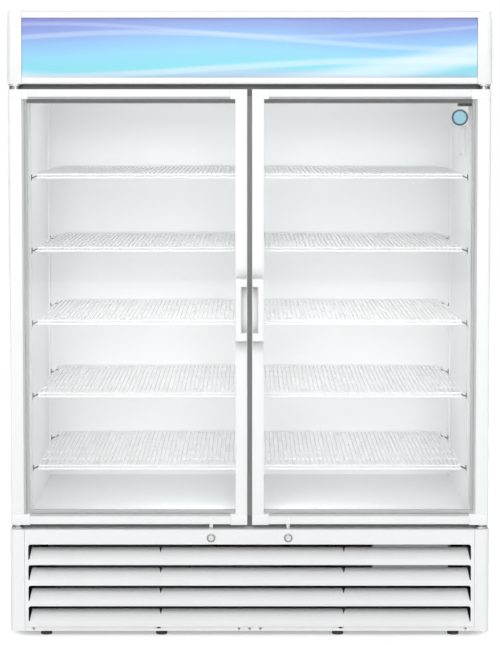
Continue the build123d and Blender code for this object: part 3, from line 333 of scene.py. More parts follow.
# Screws of the base strip
# Small zinc-plated pan heads with a cross recess, in holes along the strip under the louvres.
screw_zinc = finish(
    "screw_zinc", (0.62, 0.62, 0.6), (0.5, 0.5, 0.49), 200, (0.28, 0.4), 1500, 0.1, 0.9
)
strip_front, screw_height, recess_depth = -358, 20.5, 1.9
bm = bmesh.new()
for x in (-623, -31, 0, 31, 623):
    turned(
        bm,
        [(0, 1.2), (1.0, 1.2), (1.0, 1.9), (2.6, 1.7), (3.3, 1.1), (3.5, 0), (1.6, 0), (1.6, -9),
         (0, -9)],
        x, strip_front, screw_height, "Y", 20,
    )
    for degrees in (45, 135):
        made = bmesh.ops.create_cube(bm, size=1)["verts"]
        turn = Matrix.Rotation(math.radians(degrees), 3, "Y")
        bmesh.ops.scale(bm, vec=(3.6, 0.12, 0.7), verts=made)
        bmesh.ops.rotate(bm, cent=(0, 0, 0), matrix=turn, verts=made)
        bmesh.ops.translate(bm, vec=(x, strip_front - recess_depth, screw_height), verts=made)
bmesh.ops.recalc_face_normals(bm, faces=bm.faces)
piece("base_screws", bm, "cabinet", screw_zinc, "zinc_steel", "panel_screws")


# Foam between the case and the lining
# Cream polyurethane foam poured in place, open-pored where a cut face shows.
foam = finish("poured_foam", (0.78, 0.7, 0.48), (0.7, 0.6, 0.38), 30, (0.8, 0.95), 500, 0.8)
coat(foam, "insulation")


# Lining of the cold space
# White-coated sheets on all sides, with a satin coat that shows the lamp light in soft grades.
white_lining = finish(
    "white_lining", (0.83, 0.835, 0.84), (0.80, 0.805, 0.81), 2.5, (0.55, 0.65), 600, 0.1
)
white_lining.node_tree.nodes["Principled BSDF"].inputs["Specular IOR Level"].default_value = 0.3
coat(white_lining, "inner_liner", "evaporator_cover")


# Trim round the opening and the centre upright
# Flat grey mouldings that the door seals press on, with the hollow upright between the doors.
# Their grey is a painted shade for the dark gaps round the doors, and the upright is a lighter
# copy of it for the centre gap.
# Painted shade for the gaps round the doors: the trim dark grey, the upright a lighter copy.
trim_grey = finish(
    "trim_grey", (0.24, 0.242, 0.245), (0.2, 0.202, 0.205), 12, (0.42, 0.52), 800, 0.15
)
mullion_grey = finish(
    "mullion_grey", (0.4, 0.402, 0.405), (0.35, 0.352, 0.355), 12, (0.42, 0.52), 800, 0.15
)
coat(trim_grey, "front_trim")
coat(mullion_grey, "centre_mullion")
white_moulding = finish(
    "white_moulding", (0.82, 0.825, 0.83), (0.79, 0.795, 0.8), 5, (0.34, 0.44), 900, 0.1
)

# Header housing
# One white steel channel over the doors, folded with a rounded bend at each edge. Its top and
# bottom lips turn down and up in front and hold the sign.


def edges_along(bm, axis, test):
    """The edges that run along an axis and whose middle passes a test."""
    found = []
    for edge in bm.edges:
        way = (edge.verts[1].co - edge.verts[0].co).normalized()
        if abs(way[axis]) > 0.999 and test((edge.verts[0].co + edge.verts[1].co) / 2):
            found.append(edge)
    return found


def soften(bm, edges, radius, steps=3):
    """Rounds edges."""
    bmesh.ops.bevel(
        bm, geom=edges, offset=radius, segments=steps, profile=0.5, affect="EDGES", material=-1
    )


def verts_of(geom):
    """The vertices in what an operator made."""
    return [g for g in geom if isinstance(g, bmesh.types.BMVert)]


def folded(bm, path, bend, plate, start, end):
    """A sheet folded along (y, z) points, with round bends and a plate's thickness."""
    verts = [bm.verts.new((start, y, z)) for y, z in path]
    edges = [bm.edges.new(pair) for pair in zip(verts, verts[1:])]
    made = bmesh.ops.extrude_edge_only(bm, edges=edges)["geom"]
    bmesh.ops.translate(bm, vec=(end - start, 0, 0), verts=verts_of(made))
    soften(bm, [e for e in bm.edges if len(e.link_faces) == 2], bend)
    bmesh.ops.solidify(bm, geom=bm.faces[:], thickness=plate)


def bar(bm, low, high, soft=0.0, steps=2):
    """A straight bar between two corners, with all its edges softened."""
    low, high = Vector(low), Vector(high)
    place = Matrix.Translation((low + high) / 2) @ Matrix.Diagonal((*(high - low), 1))
    verts = bmesh.ops.create_cube(bm, size=1, matrix=place)["verts"]
    if soft:
        soften(bm, list({e for v in verts for e in v.link_edges}), soft, steps)
    return verts


channel_end, lip_y, web_y = 647.2, -360, -309
bm = bmesh.new()
folded(
    bm,
    [(lip_y, 1607), (lip_y, 1591), (web_y, 1591), (web_y, 1793), (lip_y, 1793), (lip_y, 1777)],
    3, 2, -channel_end, channel_end,
)
bmesh.ops.recalc_face_normals(bm, faces=bm.faces)
piece("header_channel", bm, "cabinet", white_steel, "white_steel", "header_housing")


# Header end caps
# Two white mouldings that close the channel, each rounded at its outer front corner.
front_y, case_y, cap_in, cap_out, corner_radius = -362, -308, 647.8, 690.5, 14


def at_outer_front(p):
    """Whether a point lies on the outer front corner."""
    return p.x > cap_out - 0.5 and p.y < front_y + 1


def both_sides(bm):
    """Repeats what is drawn on the right on the left."""
    geom = bm.verts[:] + bm.edges[:] + bm.faces[:]
    bmesh.ops.mirror(bm, geom=geom, axis="X", merge_dist=0.0001)
    bmesh.ops.recalc_face_normals(bm, faces=bm.faces)


bm = bmesh.new()
bar(bm, (cap_in, front_y, 1589), (cap_out, case_y, 1795))
soften(bm, edges_along(bm, 2, at_outer_front), corner_radius, 8)
soften(bm, [e for e in bm.edges if abs(e.verts[0].co.z - e.verts[1].co.z) < 0.01], 1.2, 2)
both_sides(bm)
piece("header_ends", bm, "cabinet", white_moulding, "white_moulding", "header_end_caps")


# Sign
# A translucent acrylic sheet lit from behind. Its picture is a plain ground that goes from a
# periwinkle blue at the top to pale aqua at the foot, with four soft pale waves across it.
sign_foot, sign_top = 1.606, 1.778
sign_sheet = bpy.data.materials.new("sign_sheet")
sign_sheet.use_nodes = True
nodes, links = sign_sheet.node_tree.nodes, sign_sheet.node_tree.links
shader = nodes["Principled BSDF"]
shader.inputs["Roughness"].default_value = 0.22
place = nodes.new("ShaderNodeTexCoord")
split = nodes.new("ShaderNodeSeparateXYZ")
links.new(place.outputs["Object"], split.inputs[0])


def worked(kind, first, second):
    """One sum or product of two numbers, each a socket or a plain value."""
    node = nodes.new("ShaderNodeMath")
    node.operation = kind
    for socket, value in zip(node.inputs, (first, second)):
        if isinstance(value, (int, float)):
            socket.default_value = value
        else:
            links.new(value, socket)
    return node.outputs[0]


across = split.outputs[0]
height = split.outputs[2]
drift = nodes.new("ShaderNodeTexNoise")
drift.inputs["Scale"].default_value = 1.6
drift.inputs["Detail"].default_value = 1
links.new(place.outputs["Object"], drift.inputs["Vector"])
level = nodes.new("ShaderNodeMapRange")
level.inputs["From Min"].default_value = sign_foot
level.inputs["From Max"].default_value = sign_top
links.new(height, level.inputs["Value"])
wander = worked("MULTIPLY", worked("SUBTRACT", drift.outputs["Fac"], 0.5), 0.5)
ground = nodes.new("ShaderNodeValToRGB")
stops = ground.color_ramp.elements
stops[0].color = (0.32, 0.50, 0.66, 1)
stops[1].color = (0.10, 0.15, 0.48, 1)
for where, colour in (
    (0.16, (0.15, 0.55, 0.64, 1)),
    (0.40, (0.18, 0.50, 0.68, 1)),
    (0.62, (0.16, 0.37, 0.66, 1)),
    (0.82, (0.13, 0.23, 0.55, 1)),
):
    stops.new(where).color = colour
links.new(worked("ADD", level.outputs["Result"], wander), ground.inputs["Fac"])
colour = ground.outputs["Color"]
for pitch, start, rise, middle, width, strength in (
    (2.1, 5.2, 0.085, 1.650, 0.045, 0.62),
    (2.6, 0.4, 0.026, 1.630, 0.014, 0.40),
    (3.4, 2.6, 0.024, 1.712, 0.011, 0.25),
    (4.3, 4.0, 0.018, 1.742, 0.008, 0.18),
):
    wave = worked("SINE", worked("ADD", worked("MULTIPLY", across, pitch), start), 0)
    line = worked("ADD", worked("MULTIPLY", wave, rise), middle)
    off = worked("ABSOLUTE", worked("SUBTRACT", height, line), 0)
    soft = nodes.new("ShaderNodeMapRange")
    soft.interpolation_type = "SMOOTHSTEP"
    soft.inputs["From Min"].default_value = width
    soft.inputs["From Max"].default_value = width * 0.2
    soft.inputs["To Max"].default_value = strength
    links.new(off, soft.inputs["Value"])
    blend = nodes.new("ShaderNodeMix")
    blend.data_type = "RGBA"
    blend.inputs[7].default_value = (0.66, 0.73, 0.80, 1)
    links.new(soft.outputs["Result"], blend.inputs[0])
    links.new(colour, blend.inputs[6])
    colour = blend.outputs[2]
links.new(colour, shader.inputs["Base Color"])
links.new(colour, shader.inputs["Emission Color"])
shader.inputs["Emission Strength"].default_value = 0.1
coat(sign_sheet, "sign_panel")


# Lamp covers
# Opal covers of the LED bar behind the sign and of the two strips on the centre upright. Four
# weak lamps stand in for the light of the strips, and one in front lights the racks alone.
mid_height, shelf_watts = 0.945, 62
lamp_cover = finish("lamp_cover", (0.86, 0.87, 0.88), (0.82, 0.83, 0.84), 20, (0.3, 0.4), 500, 0.05)
shader = lamp_cover.node_tree.nodes["Principled BSDF"]
shader.inputs["Emission Color"].default_value = (0.95, 0.98, 1.0, 1)
shader.inputs["Emission Strength"].default_value = 1.2
coat(lamp_cover, "led_lamps")
inner_lamps = [
    soft_lamp("upper_cabin_lamp", (0, -0.302, 1.39), (0, 0.4, 1.39), 0.95, 0.3, 1.9),
    soft_lamp("lower_cabin_lamp", (0, -0.302, 0.5), (0, 0.4, 0.5), 0.95, 0.3, 1.0),
]
for side in (-1, 1):
    place, aim = (side * 0.06, -0.27, mid_height), (side * 0.6, -0.2, mid_height)
    inner_lamps.append(soft_lamp(f"strip_lamp_{side}", place, aim, 0.03, 1.2, 1.05))
shelf_lamp = soft_lamp("shelf_lamp", (0, -4, 1.8), (0, 0, mid_height), 2, 2, shelf_watts)

# Lower corner posts
# Folded white covers beside the louvred panel, rounded at the outer front corner and, on the
# outside of the foot, rounded again just above the floor.
post_foot, post_top = 14, 310
bm = bmesh.new()
bar(bm, (cap_in, front_y, post_foot), (cap_out, case_y, post_top))
soften(bm, edges_along(bm, 2, at_outer_front), corner_radius, 8)
foot = [
    e for e in bm.edges
    if all(v.co.z < post_foot + 0.1 and v.co.x > cap_out - 0.1 for v in e.verts)
]
soften(bm, foot, 13, 6)
soften(bm, edges_along(bm, 2, lambda p: p.x < cap_in + 0.2 and p.y < front_y + 1), 1.6, 3)
both_sides(bm)
piece("lower_corner_covers", bm, "cabinet", white_steel, "white_steel", "corner_posts")


# Louvred panel
# One pressed and powder-coated sheet: an upper band for the locks and four bent-in louvres,
# each with two V cuts, above a folded foot.
# The louvres' tops are darker through the painted shade of the white coat.
coat(white_steel, "grille_panel")


# Locks
# Two cam locks of nickel-plated zinc: a fixed shell with a rounded ring, a bright barrel with a
# key slot that turns and, behind the panel, the bolt that rises into the door. The ring is a
# darker copy of the barrel's nickel, a painted shade on its rounding.
lock_metal = finish(
    "lock_nickel", (0.62, 0.62, 0.615), (0.5, 0.5, 0.495), 120, (0.3, 0.42), 1200, 0.08, 0.9
)
# Painted shade: the ring takes a darker copy of the barrel's nickel.
lock_ring_painted_shade = finish(
    "nickel_ring_painted_shade", (0.3, 0.3, 0.295), (0.22, 0.22, 0.215), 120, (0.3, 0.42), 1200, 0.08, 0.9
)
lock_x, lock_height = 111, 286
bm = bmesh.new()
for x in (-lock_x, lock_x):
    turned(
        bm,
        [(7.7, 0), (7.7, -2.4), (8.6, -2.9), (11.2, -2.7), (12.6, -1.6), (12.8, 0), (10, 0),
         (10, 24), (7.7, 24), (7.7, 0)],
        x, front_y, lock_height, "Y", 40,
    )
    nut = [(10.2, 2), (12.8, 2), (12.8, 6), (10.2, 6), (10.2, 2)]
    turned(bm, nut, x, front_y, lock_height, "Y", 6)
bmesh.ops.recalc_face_normals(bm, faces=bm.faces)
piece("lock_rings", bm, "cabinet", lock_ring_painted_shade, "lock_metal", "lock_shells")
coat(lock_metal, "left_lock_barrel", "right_lock_barrel", "left_lock_bolt", "right_lock_bolt")


# Hinge brackets
# Zinc-plated steel: a plate and pin over the outer end of each door, and under it an angle
# with a pin and a collar. The plates are rounded at their front corners.
hinge_zinc = finish(
    "hinge_zinc", (0.42, 0.425, 0.43), (0.36, 0.365, 0.37), 60, (0.25, 0.38), 800, 0.08, 0.9
)
plate_in, plate_out, plate_front, pin_x, pin_y = 652, 687, -356, 668, -339
upper_pin = [
    (0, 1556), (3.4, 1556), (4, 1557), (4, 1574.3), (10, 1574.3), (10, 1584), (0, 1584),
]
lower_pin = [(0, 315), (10, 315), (10, 323.2), (4, 323.2), (4, 343), (3.4, 344), (0, 344)]
bm = bmesh.new()
for low, high in ((1584, 1589), (310, 315)):
    made = bar(bm, (plate_in, plate_front, low), (plate_out, case_y, high))
    edges = list({e for v in made for e in v.link_edges})
    upright = [e for e in edges if abs(e.verts[0].co.z - e.verts[1].co.z) > 1]
    corners = [e for e in upright if all(v.co.y < plate_front + 1 for v in e.verts)]
    soften(bm, corners, 9, 5)
level_edges = [e for e in bm.edges if abs(e.verts[0].co.z - e.verts[1].co.z) < 0.01]
soften(bm, [e for e in level_edges if e.verts[0].co.y < case_y - 0.5], 0.7, 2)
bar(bm, (plate_in, -313, 250), (plate_out, case_y, 310), 0.5, 1)
for pin in (upper_pin, lower_pin):
    turned(bm, pin, pin_x, pin_y, 0, "Z", 28)
both_sides(bm)
piece("hinges", bm, "cabinet", hinge_zinc, "hinge_metal", "hinge_brackets")

# Door frames
# White-coated aluminium: two stiles and two rails drawn with glazing grooves, joined by four
# moulded corner pieces with a hair seam where each of them starts. The bead that holds the glass
# is grey, a painted shade for the shadowed reveal, and the coat beside a pull is darkened by a
# painted shade of the pull.
door_back, glass_front, glass_back, door_in, door_out = -316, -350, -326, 7, 688
sharp_turn = 1.2
door_white = finish("door_white", (0.85, 0.855, 0.86), (0.82, 0.825, 0.83), 4, (0.3, 0.4), 800, 0.1)
# A copy of the door coat with painted shade round the pull.
door_white_painted_pull_shade = finish(
    "door_white_painted_pull_shade", (0.85, 0.855, 0.86), (0.82, 0.825, 0.83), 4, (0.3, 0.4), 800, 0.1
)
painted_hollow_shade(door_white_painted_pull_shade, 0.04, 0.3, False)
# Painted shade for the reveal: the bead's grey.
bead_painted_shade = finish(
    "bead_painted_shade", (0.52, 0.525, 0.53), (0.46, 0.465, 0.47), 30, (0.45, 0.6), 700, 0.15
)


def drawn(bm, outline, shift):
    """A solid drawn from an outline along a shift."""
    verts = [bm.verts.new(p) for p in outline]
    face = bm.faces.new(verts)
    made = bmesh.ops.extrude_face_region(bm, geom=[face])["geom"]
    bmesh.ops.translate(bm, vec=shift, verts=verts_of(made))
    bmesh.ops.recalc_face_normals(bm, faces=bm.faces)


def to_side(bm, side):
    """Turns what is drawn for the right door over to the side it is for."""
    bmesh.ops.scale(bm, vec=(side, 1, 1), verts=bm.verts)
    bmesh.ops.recalc_face_normals(bm, faces=bm.faces)


def door_section(outer, inner, bead, step):
    """A member's outline from its outer edge to its bead, as (across, depth) points."""
    way = 1 if inner > outer else -1
    lip, groove = inner + way * bead, inner - way
    return [
        (outer, door_back), (outer, front_y), (inner, front_y), (inner, front_y + step),
        (lip, front_y + step), (lip, glass_front), (groove, glass_front), (groove, glass_back),
        (lip, glass_back), (lip, door_back),
    ]


doors = (("right_door", 1), ("left_door", -1))
stile_foot, stile_length, outer_radius = 354.15, 1191.7, 9
rail_in, rail_out, rail_foot, hole_in, hole_out = 55.15, 631.35, 326, 104.5, 117.5
inner_stile = [
    (door_in, door_back), (door_in, front_y), (41, front_y), (41, glass_front),
    (28, glass_front), (28, glass_back), (41, glass_back), (41, door_back),
]
bolt_hole = [(rail_foot, -327.5), (340, -327.5), (340, -335.5), (rail_foot, -335.5)]
for body, side in doors:
    bm = bmesh.new()
    for section in (door_section(door_out, 649, 6, 6), inner_stile):
        drawn(bm, [(x, y, stile_foot) for x, y in section], (0, 0, stile_length))
    section = door_section(1574, 1553, 6.6, 6)
    drawn(bm, [(rail_in, y, z) for z, y in section], (rail_out - rail_in, 0, 0))
    section = door_section(rail_foot, 348, 6, 6)
    notched = section[:1] + bolt_hole + section[1:]
    for start, end, outline in (
        (rail_in, hole_in, section), (hole_in, hole_out, notched), (hole_out, rail_out, section)
    ):
        drawn(bm, [(start, y, z) for z, y in outline], (end - start, 0, 0))
    soften(bm, edges_along(bm, 2, lambda p: p.y < front_y + 1 and p.x > 680), outer_radius, 6)
    soften(bm, edges_along(bm, 2, lambda p: p.y < front_y + 1), 1, 2)
    soften(bm, edges_along(bm, 0, lambda p: p.y < front_y + 1), 1.2, 2)
    for x in ((door_in, 55), (631.5, door_out)):
        for z in ((323.5, 354), (1546, 1574)):
            made = bar(bm, (x[0], front_y, z[0]), (x[1], door_back, z[1]))
            edges = {e for v in made for e in v.link_edges}
            outer = [
                e for e in edges
                if all(v.co.x > door_out - 1 and v.co.y < front_y + 1 for v in e.verts)
            ]
            if outer:
                soften(bm, outer, outer_radius, 6)
            rest = [
                e for e in bm.edges
                if e.calc_face_angle(0) > sharp_turn and all(
                    x[0] - 1 < v.co.x < x[1] + 1 and z[0] - 0.1 < v.co.z < z[1] + 0.1
                    and v.co.y < front_y + 4 for v in e.verts
                )
            ]
            soften(bm, rest, 0.5, 2)
    to_side(bm, side)
    # Painted shade: the bead faces take the grey, the front faces by the pull the darkened coat.
    for face in bm.faces:
        depths = [v.co.y for v in face.verts]
        if min(depths) > -356.1 and max(depths) < -349.9:
            face.material_index = 1
        elif max(depths) < front_y + 0.1 and all(abs(v.co.x) < 56 for v in face.verts):
            face.material_index = 2
    members = piece(f"{body}_members", bm, body, door_white, "door_white", f"{body}_frame")
    members.data.materials.append(bead_painted_shade)
    members.data.materials.append(door_white_painted_pull_shade)


# Sealed glass units
# Two 4 mm panes of low-iron glass with a faint wiped haze. The spacer between them shows as a
# grey band inside the frame, and its top bar is painted darker, a painted shadow of the head.
pane_foot, pane_top, spacer_top = 349, 1552, 1547
clear_glass = bpy.data.materials.new("clear_glass")
clear_glass.use_nodes = True
nodes, links = clear_glass.node_tree.nodes, clear_glass.node_tree.links
nodes.clear()
through = nodes.new("ShaderNodeBsdfTransparent")
through.inputs["Color"].default_value = (0.988, 0.99, 0.989, 1)
shine = nodes.new("ShaderNodeBsdfGlossy")
shine.inputs["Color"].default_value = (1, 1, 1, 1)
place = nodes.new("ShaderNodeTexCoord")
haze = nodes.new("ShaderNodeTexNoise")
haze.inputs["Scale"].default_value = 5
haze.inputs["Detail"].default_value = 4
links.new(place.outputs["Object"], haze.inputs["Vector"])
rub = nodes.new("ShaderNodeMapRange")
rub.inputs["To Min"].default_value = 0.01
rub.inputs["To Max"].default_value = 0.06
links.new(haze.outputs["Fac"], rub.inputs["Value"])
links.new(rub.outputs["Result"], shine.inputs["Roughness"])
edge_on = nodes.new("ShaderNodeFresnel")
edge_on.inputs["IOR"].default_value = 1.45
facing = nodes.new("ShaderNodeNewGeometry")
outside = nodes.new("ShaderNodeMath")
outside.operation = "SUBTRACT"
outside.use_clamp = True
links.new(edge_on.outputs[0], outside.inputs[0])
links.new(facing.outputs["Backfacing"], outside.inputs[1])
mixed = nodes.new("ShaderNodeMixShader")
links.new(outside.outputs[0], mixed.inputs[0])
links.new(through.outputs[0], mixed.inputs[1])
links.new(shine.outputs[0], mixed.inputs[2])
out = nodes.new("ShaderNodeOutputMaterial")
links.new(mixed.outputs[0], out.inputs[0])
spacer_grey = finish(
    "spacer_grey", (0.5, 0.5, 0.5), (0.45, 0.45, 0.45), 40, (0.4, 0.5), 600, 0.1
)
spacer_painted_shadow = finish(
    "spacer_painted_shadow", (0.11, 0.11, 0.11), (0.08, 0.08, 0.08), 40, (0.4, 0.5), 600, 0.1
)


def frame_ring(bm, low, high, width, depth):
    """A flat rectangular ring of one width, in the XZ plane, with a depth along Y."""
    place = Matrix.Translation(((low[0] + high[0]) / 2, depth[0], (low[1] + high[1]) / 2))
    size = Matrix.Diagonal(((high[0] - low[0]) / 2, 1, (high[1] - low[1]) / 2, 1))
    turn = Matrix.Rotation(math.radians(90), 4, "X")
    old = set(bm.faces)
    bmesh.ops.create_grid(bm, x_segments=1, y_segments=1, size=1, matrix=place @ size @ turn)
    face = [f for f in bm.faces if f not in old]
    rim = bmesh.ops.inset_region(
        bm, faces=face, thickness=width, use_boundary=True, use_even_offset=True
    )["faces"]
    bmesh.ops.delete(bm, geom=face, context="FACES")
    made = bmesh.ops.extrude_face_region(bm, geom=rim)["geom"]
    bmesh.ops.translate(bm, vec=(0, depth[1] - depth[0], 0), verts=verts_of(made))
    bmesh.ops.recalc_face_normals(bm, faces=bm.faces)


for body, side in doors:
    bm = bmesh.new()
    for y in (glass_front, glass_back - 4):
        bar(bm, (30, y, pane_foot), (648, y + 4, pane_top), 0.4, 1)
    to_side(bm, side)
    piece(f"{body}_panes", bm, body, clear_glass, "glazing", f"{body}_glass")
    bm = bmesh.new()
    for low_x, high_x, low, high in (
        (35, 41, 354, spacer_top), (636, 643, 354, spacer_top),
        (41, 636, 354, 364), (41, 636, 1534.4, spacer_top),
    ):
        bar(bm, (low_x, glass_front + 4, low), (high_x, glass_back - 4, high))
    to_side(bm, side)
    # Painted shadow of the head on the spacer's top bar.
    for face in bm.faces:
        if face.calc_center_median().z > 1534:
            face.material_index = 1
    spacer = piece(f"{body}_spacer", bm, body, spacer_grey, "glazing", f"{body}_glass")
    spacer.data.materials.append(spacer_painted_shadow)


# Door seals
# Grey extruded vinyl with a flat root in the door and a soft hollow lip, mitred at the corners.
seal_grey = finish("seal_grey", (0.33, 0.335, 0.34), (0.27, 0.275, 0.28), 25, (0.55, 0.7), 700, 0.2)
for body, side in doors:
    bm = bmesh.new()
    frame_ring(bm, (14, 327), (661, 1569), 12, (-316, -313.5))
    frame_ring(bm, (17, 330), (658, 1566), 6, (-313.5, -311.2))
    frame_ring(bm, (14, 327), (661, 1569), 12, (-311.2, -308.3))
    to_side(bm, side)
    piece(f"{body}_seal", bm, body, seal_grey, "seal_grey", f"{body}_gasket")


# Pulls
# Two white C-shaped mouldings on the inner stiles. The arms stand off the door and the bar
# between them leaves room for the fingers; every edge is well rounded.
pull_white = finish(
    "pull_white", (0.84, 0.845, 0.85), (0.81, 0.815, 0.82), 12, (0.28, 0.36), 900, 0.08
)
pull_front, grip_depth = -400, 12
columns, rows = (door_in, 24, 41), (858, 881, 1013, 1036)
for body, side in doors:
    bm = bmesh.new()
    grid = {(x, z): bm.verts.new((x, pull_front, z)) for x in columns for z in rows}
    for i, j in ((0, 0), (1, 0), (0, 2), (1, 2), (1, 1)):
        a, b, c, d = columns[i], columns[i + 1], rows[j], rows[j + 1]
        bm.faces.new([grid[a, c], grid[b, c], grid[b, d], grid[a, d]])
    loose = [v for v in bm.verts if not v.link_faces]
    bmesh.ops.delete(bm, geom=loose, context="VERTS")
    made = bmesh.ops.extrude_face_region(bm, geom=bm.faces[:], use_keep_orig=True)["geom"]
    bmesh.ops.translate(bm, vec=(0, grip_depth, 0), verts=verts_of(made))
    middles = {face: face.calc_center_median() for face in bm.faces}
    backs = [
        face for face, middle in middles.items()
        if abs(middle.y - pull_front - grip_depth) < 0.1 and not rows[1] < middle.z < rows[2]
    ]
    made = bmesh.ops.extrude_face_region(bm, geom=backs)["geom"]
    reach = front_y - pull_front - grip_depth
    bmesh.ops.translate(bm, vec=(0, reach, 0), verts=verts_of(made))
    bmesh.ops.recalc_face_normals(bm, faces=bm.faces)
    sharp = [
        e for e in bm.edges
        if e.calc_face_angle(0) > sharp_turn and not all(v.co.y > front_y - 0.1 for v in e.verts)
    ]
    soften(bm, sharp, 2.6, 4)
    to_side(bm, side)
    piece(f"{body}_pull", bm, body, pull_white, "door_white", f"{body}_handle")


# Round disc on the right pane
# A thin printed disc stuck to the glass, left plain: a dark rim round a pale field.
disc_rim = finish("disc_rim", (0.01, 0.04, 0.07), (0.014, 0.05, 0.08), 80, (0.3, 0.4), 500, 0.05)
disc_field = finish("disc_field", (0.26, 0.5, 0.58), (0.2, 0.42, 0.52), 90, (0.3, 0.4), 500, 0.05)
disc_x, disc_height, field, rim = 599, 1494, 18, 23.5
bm = bmesh.new()
outline = [(field, 0), (field, -0.3), (rim, -0.3), (rim, 0), (field, 0)]
turned(bm, outline, disc_x, glass_front, disc_height, "Y", 48)
piece("disc_rim", bm, "right_door", disc_rim, "glazing")
bm = bmesh.new()
outline = [(0, 0), (0, -0.2), (field, -0.2), (field, 0), (0, 0)]
turned(bm, outline, disc_x, glass_front, disc_height, "Y", 48)
piece("disc_field", bm, "right_door", disc_field, "glazing")

# Shelves
# Ten racks of white-coated steel wire. Forty-eight thin wires run from back to front over six
# thicker ones and bend down onto a lower wire, and a raised wire guards the back wall. The lamps
# inside leave the racks out, so that their light stays even.


def wire(bm, points, radius, bend, sides=6, steps=3):
    """A round wire along straight runs joined by arcs, closed at its ends."""
    points = [Vector(p) for p in points]
    way = (points[1] - points[0]).normalized()
    place = Matrix.Translation(points[0]) @ way.to_track_quat("Z", "Y").to_matrix().to_4x4()
    ring = bmesh.ops.create_circle(
        bm, cap_ends=False, radius=radius, segments=sides, matrix=place
    )["verts"]
    edges = list({e for v in ring for e in v.link_edges})
    ends = list(edges)
    at = points[0]
    for i in range(1, len(points)):
        last = i == len(points) - 1
        trim = 0
        if not last:
            onward = (points[i + 1] - points[i]).normalized()
            angle = way.angle(onward)
            trim = bend * math.tan(angle / 2)
        target = points[i] - way * trim
        made = bmesh.ops.extrude_edge_only(bm, edges=edges)["geom"]
        moved = verts_of(made)
        bmesh.ops.translate(bm, vec=target - at, verts=moved)
        edges = [g for g in made if isinstance(g, bmesh.types.BMEdge)]
        edges = [e for e in edges if all(v in moved for v in e.verts)]
        if not last:
            inward = (onward - way * way.dot(onward)).normalized()
            made = bmesh.ops.spin(
                bm, geom=edges + moved, cent=target + inward * bend, axis=way.cross(onward),
                angle=angle, steps=steps, use_duplicate=False,
            )["geom_last"]
            edges = [g for g in made if isinstance(g, bmesh.types.BMEdge)]
            at = points[i] + onward * trim
            way = onward
    bmesh.ops.holes_fill(bm, edges=ends + edges, sides=0)


def copies(bm, geom, shifts):
    """Repeats a shape at each shift, and leaves the first where it is."""
    for shift in shifts:
        made = bmesh.ops.duplicate(bm, geom=geom)["geom"]
        bmesh.ops.translate(bm, vec=shift, verts=verts_of(made))


white_wire = finish(
    "white_wire", (0.84, 0.845, 0.85), (0.80, 0.805, 0.81), 40, (0.3, 0.42), 900, 0.15
)
wires, wire_pitch, levels, level_pitch = 48, 12.856, 5, 213
top, rack_in, rack_out = 482, 8, 618
racks = bpy.data.collections.new("racks")
for side_name, side in (("right", 1), ("left", -1)):
    bm = bmesh.new()
    wire(bm, [(10.75, 327, top - 1.9), (10.75, -256, top - 1.9), (10.75, -256, top - 16)], 1.9, 4)
    geom = bm.verts[:] + bm.edges[:] + bm.faces[:]
    copies(bm, geom, [(wire_pitch * i, 0, 0) for i in range(1, wires)])
    for y in (-250.5, -139.2, -23.1, 93, 209.1, 323):
        wire(bm, [(rack_in, y, top - 6.2), (rack_out, y, top - 6.2)], 2.5, 4, 8)
    wire(bm, [(rack_in, -255.2, top - 15.25), (rack_out, -255.2, top - 15.25)], 2.75, 4, 8)
    guard = [(25.75, top - 8), (25.75, top + 2.5), (601, top + 2.5), (601, top - 8)]
    wire(bm, [(x, 325.2, z) for x, z in guard], 2.5, 5, 8, 4)
    geom = bm.verts[:] + bm.edges[:] + bm.faces[:]
    copies(bm, geom, [(0, 0, level_pitch * i) for i in range(1, levels)])
    to_side(bm, side)
    node = f"{side_name}_shelves"
    rack = piece(f"{side_name}_racks", bm, "cabinet", white_wire, "white_wire", node)
    racks.objects.link(rack)
for entry in racks.collection_objects:
    entry.light_linking.link_state = "EXCLUDE"
for lamp in inner_lamps:
    lamp.light_linking.receiver_collection = racks
    lamp.light_linking.blocker_collection = racks
only_racks = bpy.data.collections.new("only_racks")
for rack in racks.objects:
    only_racks.objects.link(rack)
shelf_lamp.light_linking.receiver_collection = only_racks


# Slotted strips
# White steel strips with a slot every inch, screwed to the side walls, the back wall and the
# centre upright.
coat(white_lining, "shelf_pilasters")


# Shelf clips
# Bent from dark steel strip: a tab that hooks into a slot and a tongue that rises inwards
# under the shelf.
clip_dark = finish(
    "clip_dark", (0.02, 0.02, 0.022), (0.035, 0.035, 0.038), 150, (0.5, 0.65), 900, 0.15
)
clip_width, clip_level, front_clip_level = 12, 476.5, 464
wall_x, upright_y, wall_y, clip_x = 635, -263, 333, 10
clip = [
    (0, -1), (1.8, -1), (1.8, -9), (23, -0.4), (24, -0.8), (24, -2.6), (1.8, -12.5), (0, -20),
]
bm = bmesh.new()
for y in (-248, 282):
    drawn(bm, [(wall_x - u, y, clip_level + z) for u, z in clip], (0, clip_width, 0))
drawn(bm, [(clip_x, upright_y + u, front_clip_level + z) for u, z in clip], (clip_width, 0, 0))
drawn(bm, [(clip_x, wall_y - u, clip_level + z) for u, z in clip], (clip_width, 0, 0))
geom = bm.verts[:] + bm.edges[:] + bm.faces[:]
copies(bm, geom, [(0, 0, level_pitch * i) for i in range(1, levels)])
both_sides(bm)
piece("rack_clips", bm, "cabinet", clip_dark, "zinc_steel", "shelf_clips")


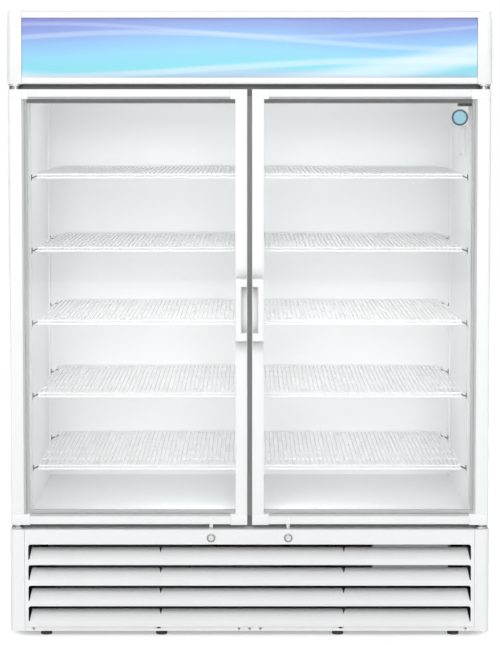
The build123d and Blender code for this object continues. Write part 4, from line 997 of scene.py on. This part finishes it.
# Lamp switch
# A black moulded box under the head of the opening, with a rocker that tips on two pins.
black_plastic = finish(
    "black_plastic", (0.022, 0.022, 0.024), (0.035, 0.035, 0.037), 90, (0.42, 0.55), 700, 0.25
)
coat(black_plastic, "lamp_switch_box", "lamp_switch_rocker")


# Air sensor cover
# A pale grey vented moulding on the right wall.
pale_plastic = finish(
    "pale_plastic", (0.7, 0.71, 0.72), (0.66, 0.67, 0.68), 30, (0.4, 0.5), 700, 0.15
)
coat(pale_plastic, "sensor_cover")


# Cooling unit above the shelves
# Aluminium fins on copper tube in a black drain tray, with two black fans on their motors.
fin_metal = finish(
    "fin_metal", (0.72, 0.73, 0.74), (0.6, 0.61, 0.62), 80, (0.3, 0.45), 1200, 0.3, 0.9
)
coat(fin_metal, "evaporator_coil")
coat(black_plastic, "evaporator_drain", "fan_motors", "left_evaporator_fan", "right_evaporator_fan")


# Machine space
# A coil and its duct in black, a black sealed compressor on rubber bushes, darkened copper pipes
# with a drier, a plastic catch tray and a zinc-coated control box. The black of the coil and duct
# is a painted shade for the dark machine space behind the louvres; the copper's dark brown is
# partly browned copper and partly painted shade.
compressor_black = finish(
    "compressor_black", (0.02, 0.02, 0.021), (0.034, 0.034, 0.035), 30, (0.28, 0.42), 500, 0.3
)
mount_rubber = finish(
    "mount_rubber", (0.025, 0.025, 0.025), (0.045, 0.045, 0.045), 90, (0.7, 0.85), 900, 0.3
)
copper = finish(
    "copper_pipe", (0.26, 0.12, 0.07), (0.17, 0.08, 0.05), 35, (0.45, 0.6), 600, 0.1, 0.9
)
# Painted shade: the coil and its duct take the compressor's black, the pipes a darkened copper.
coat(compressor_black, "compressor", "condenser_coil", "condenser_shroud")
coat(mount_rubber, "compressor_mounts")
coat(copper, "refrigerant_pipes")
coat(black_plastic, "condensate_pan", "condenser_fan", "power_inlet")


# Lips of the rear cover
# Each slot in the zinc-coated cover has a lip bent inwards and up from its lower edge, so that
# air passes and nothing falls in.
slots, slot_foot, slot_pitch, slot_width = 6, 96, 26, 240
bm = bmesh.new()
for x in (-300, 60):
    for i in range(slots):
        low = slot_foot + slot_pitch * i
        outline = [(387, low), (375, low + 12), (374.4, low + 11.4), (386.4, low - 0.6)]
        drawn(bm, [(x, y, z) for y, z in outline], (slot_width, 0, 0))
piece("rear_cover_lips", bm, "cabinet", zinc_steel, "zinc_steel")
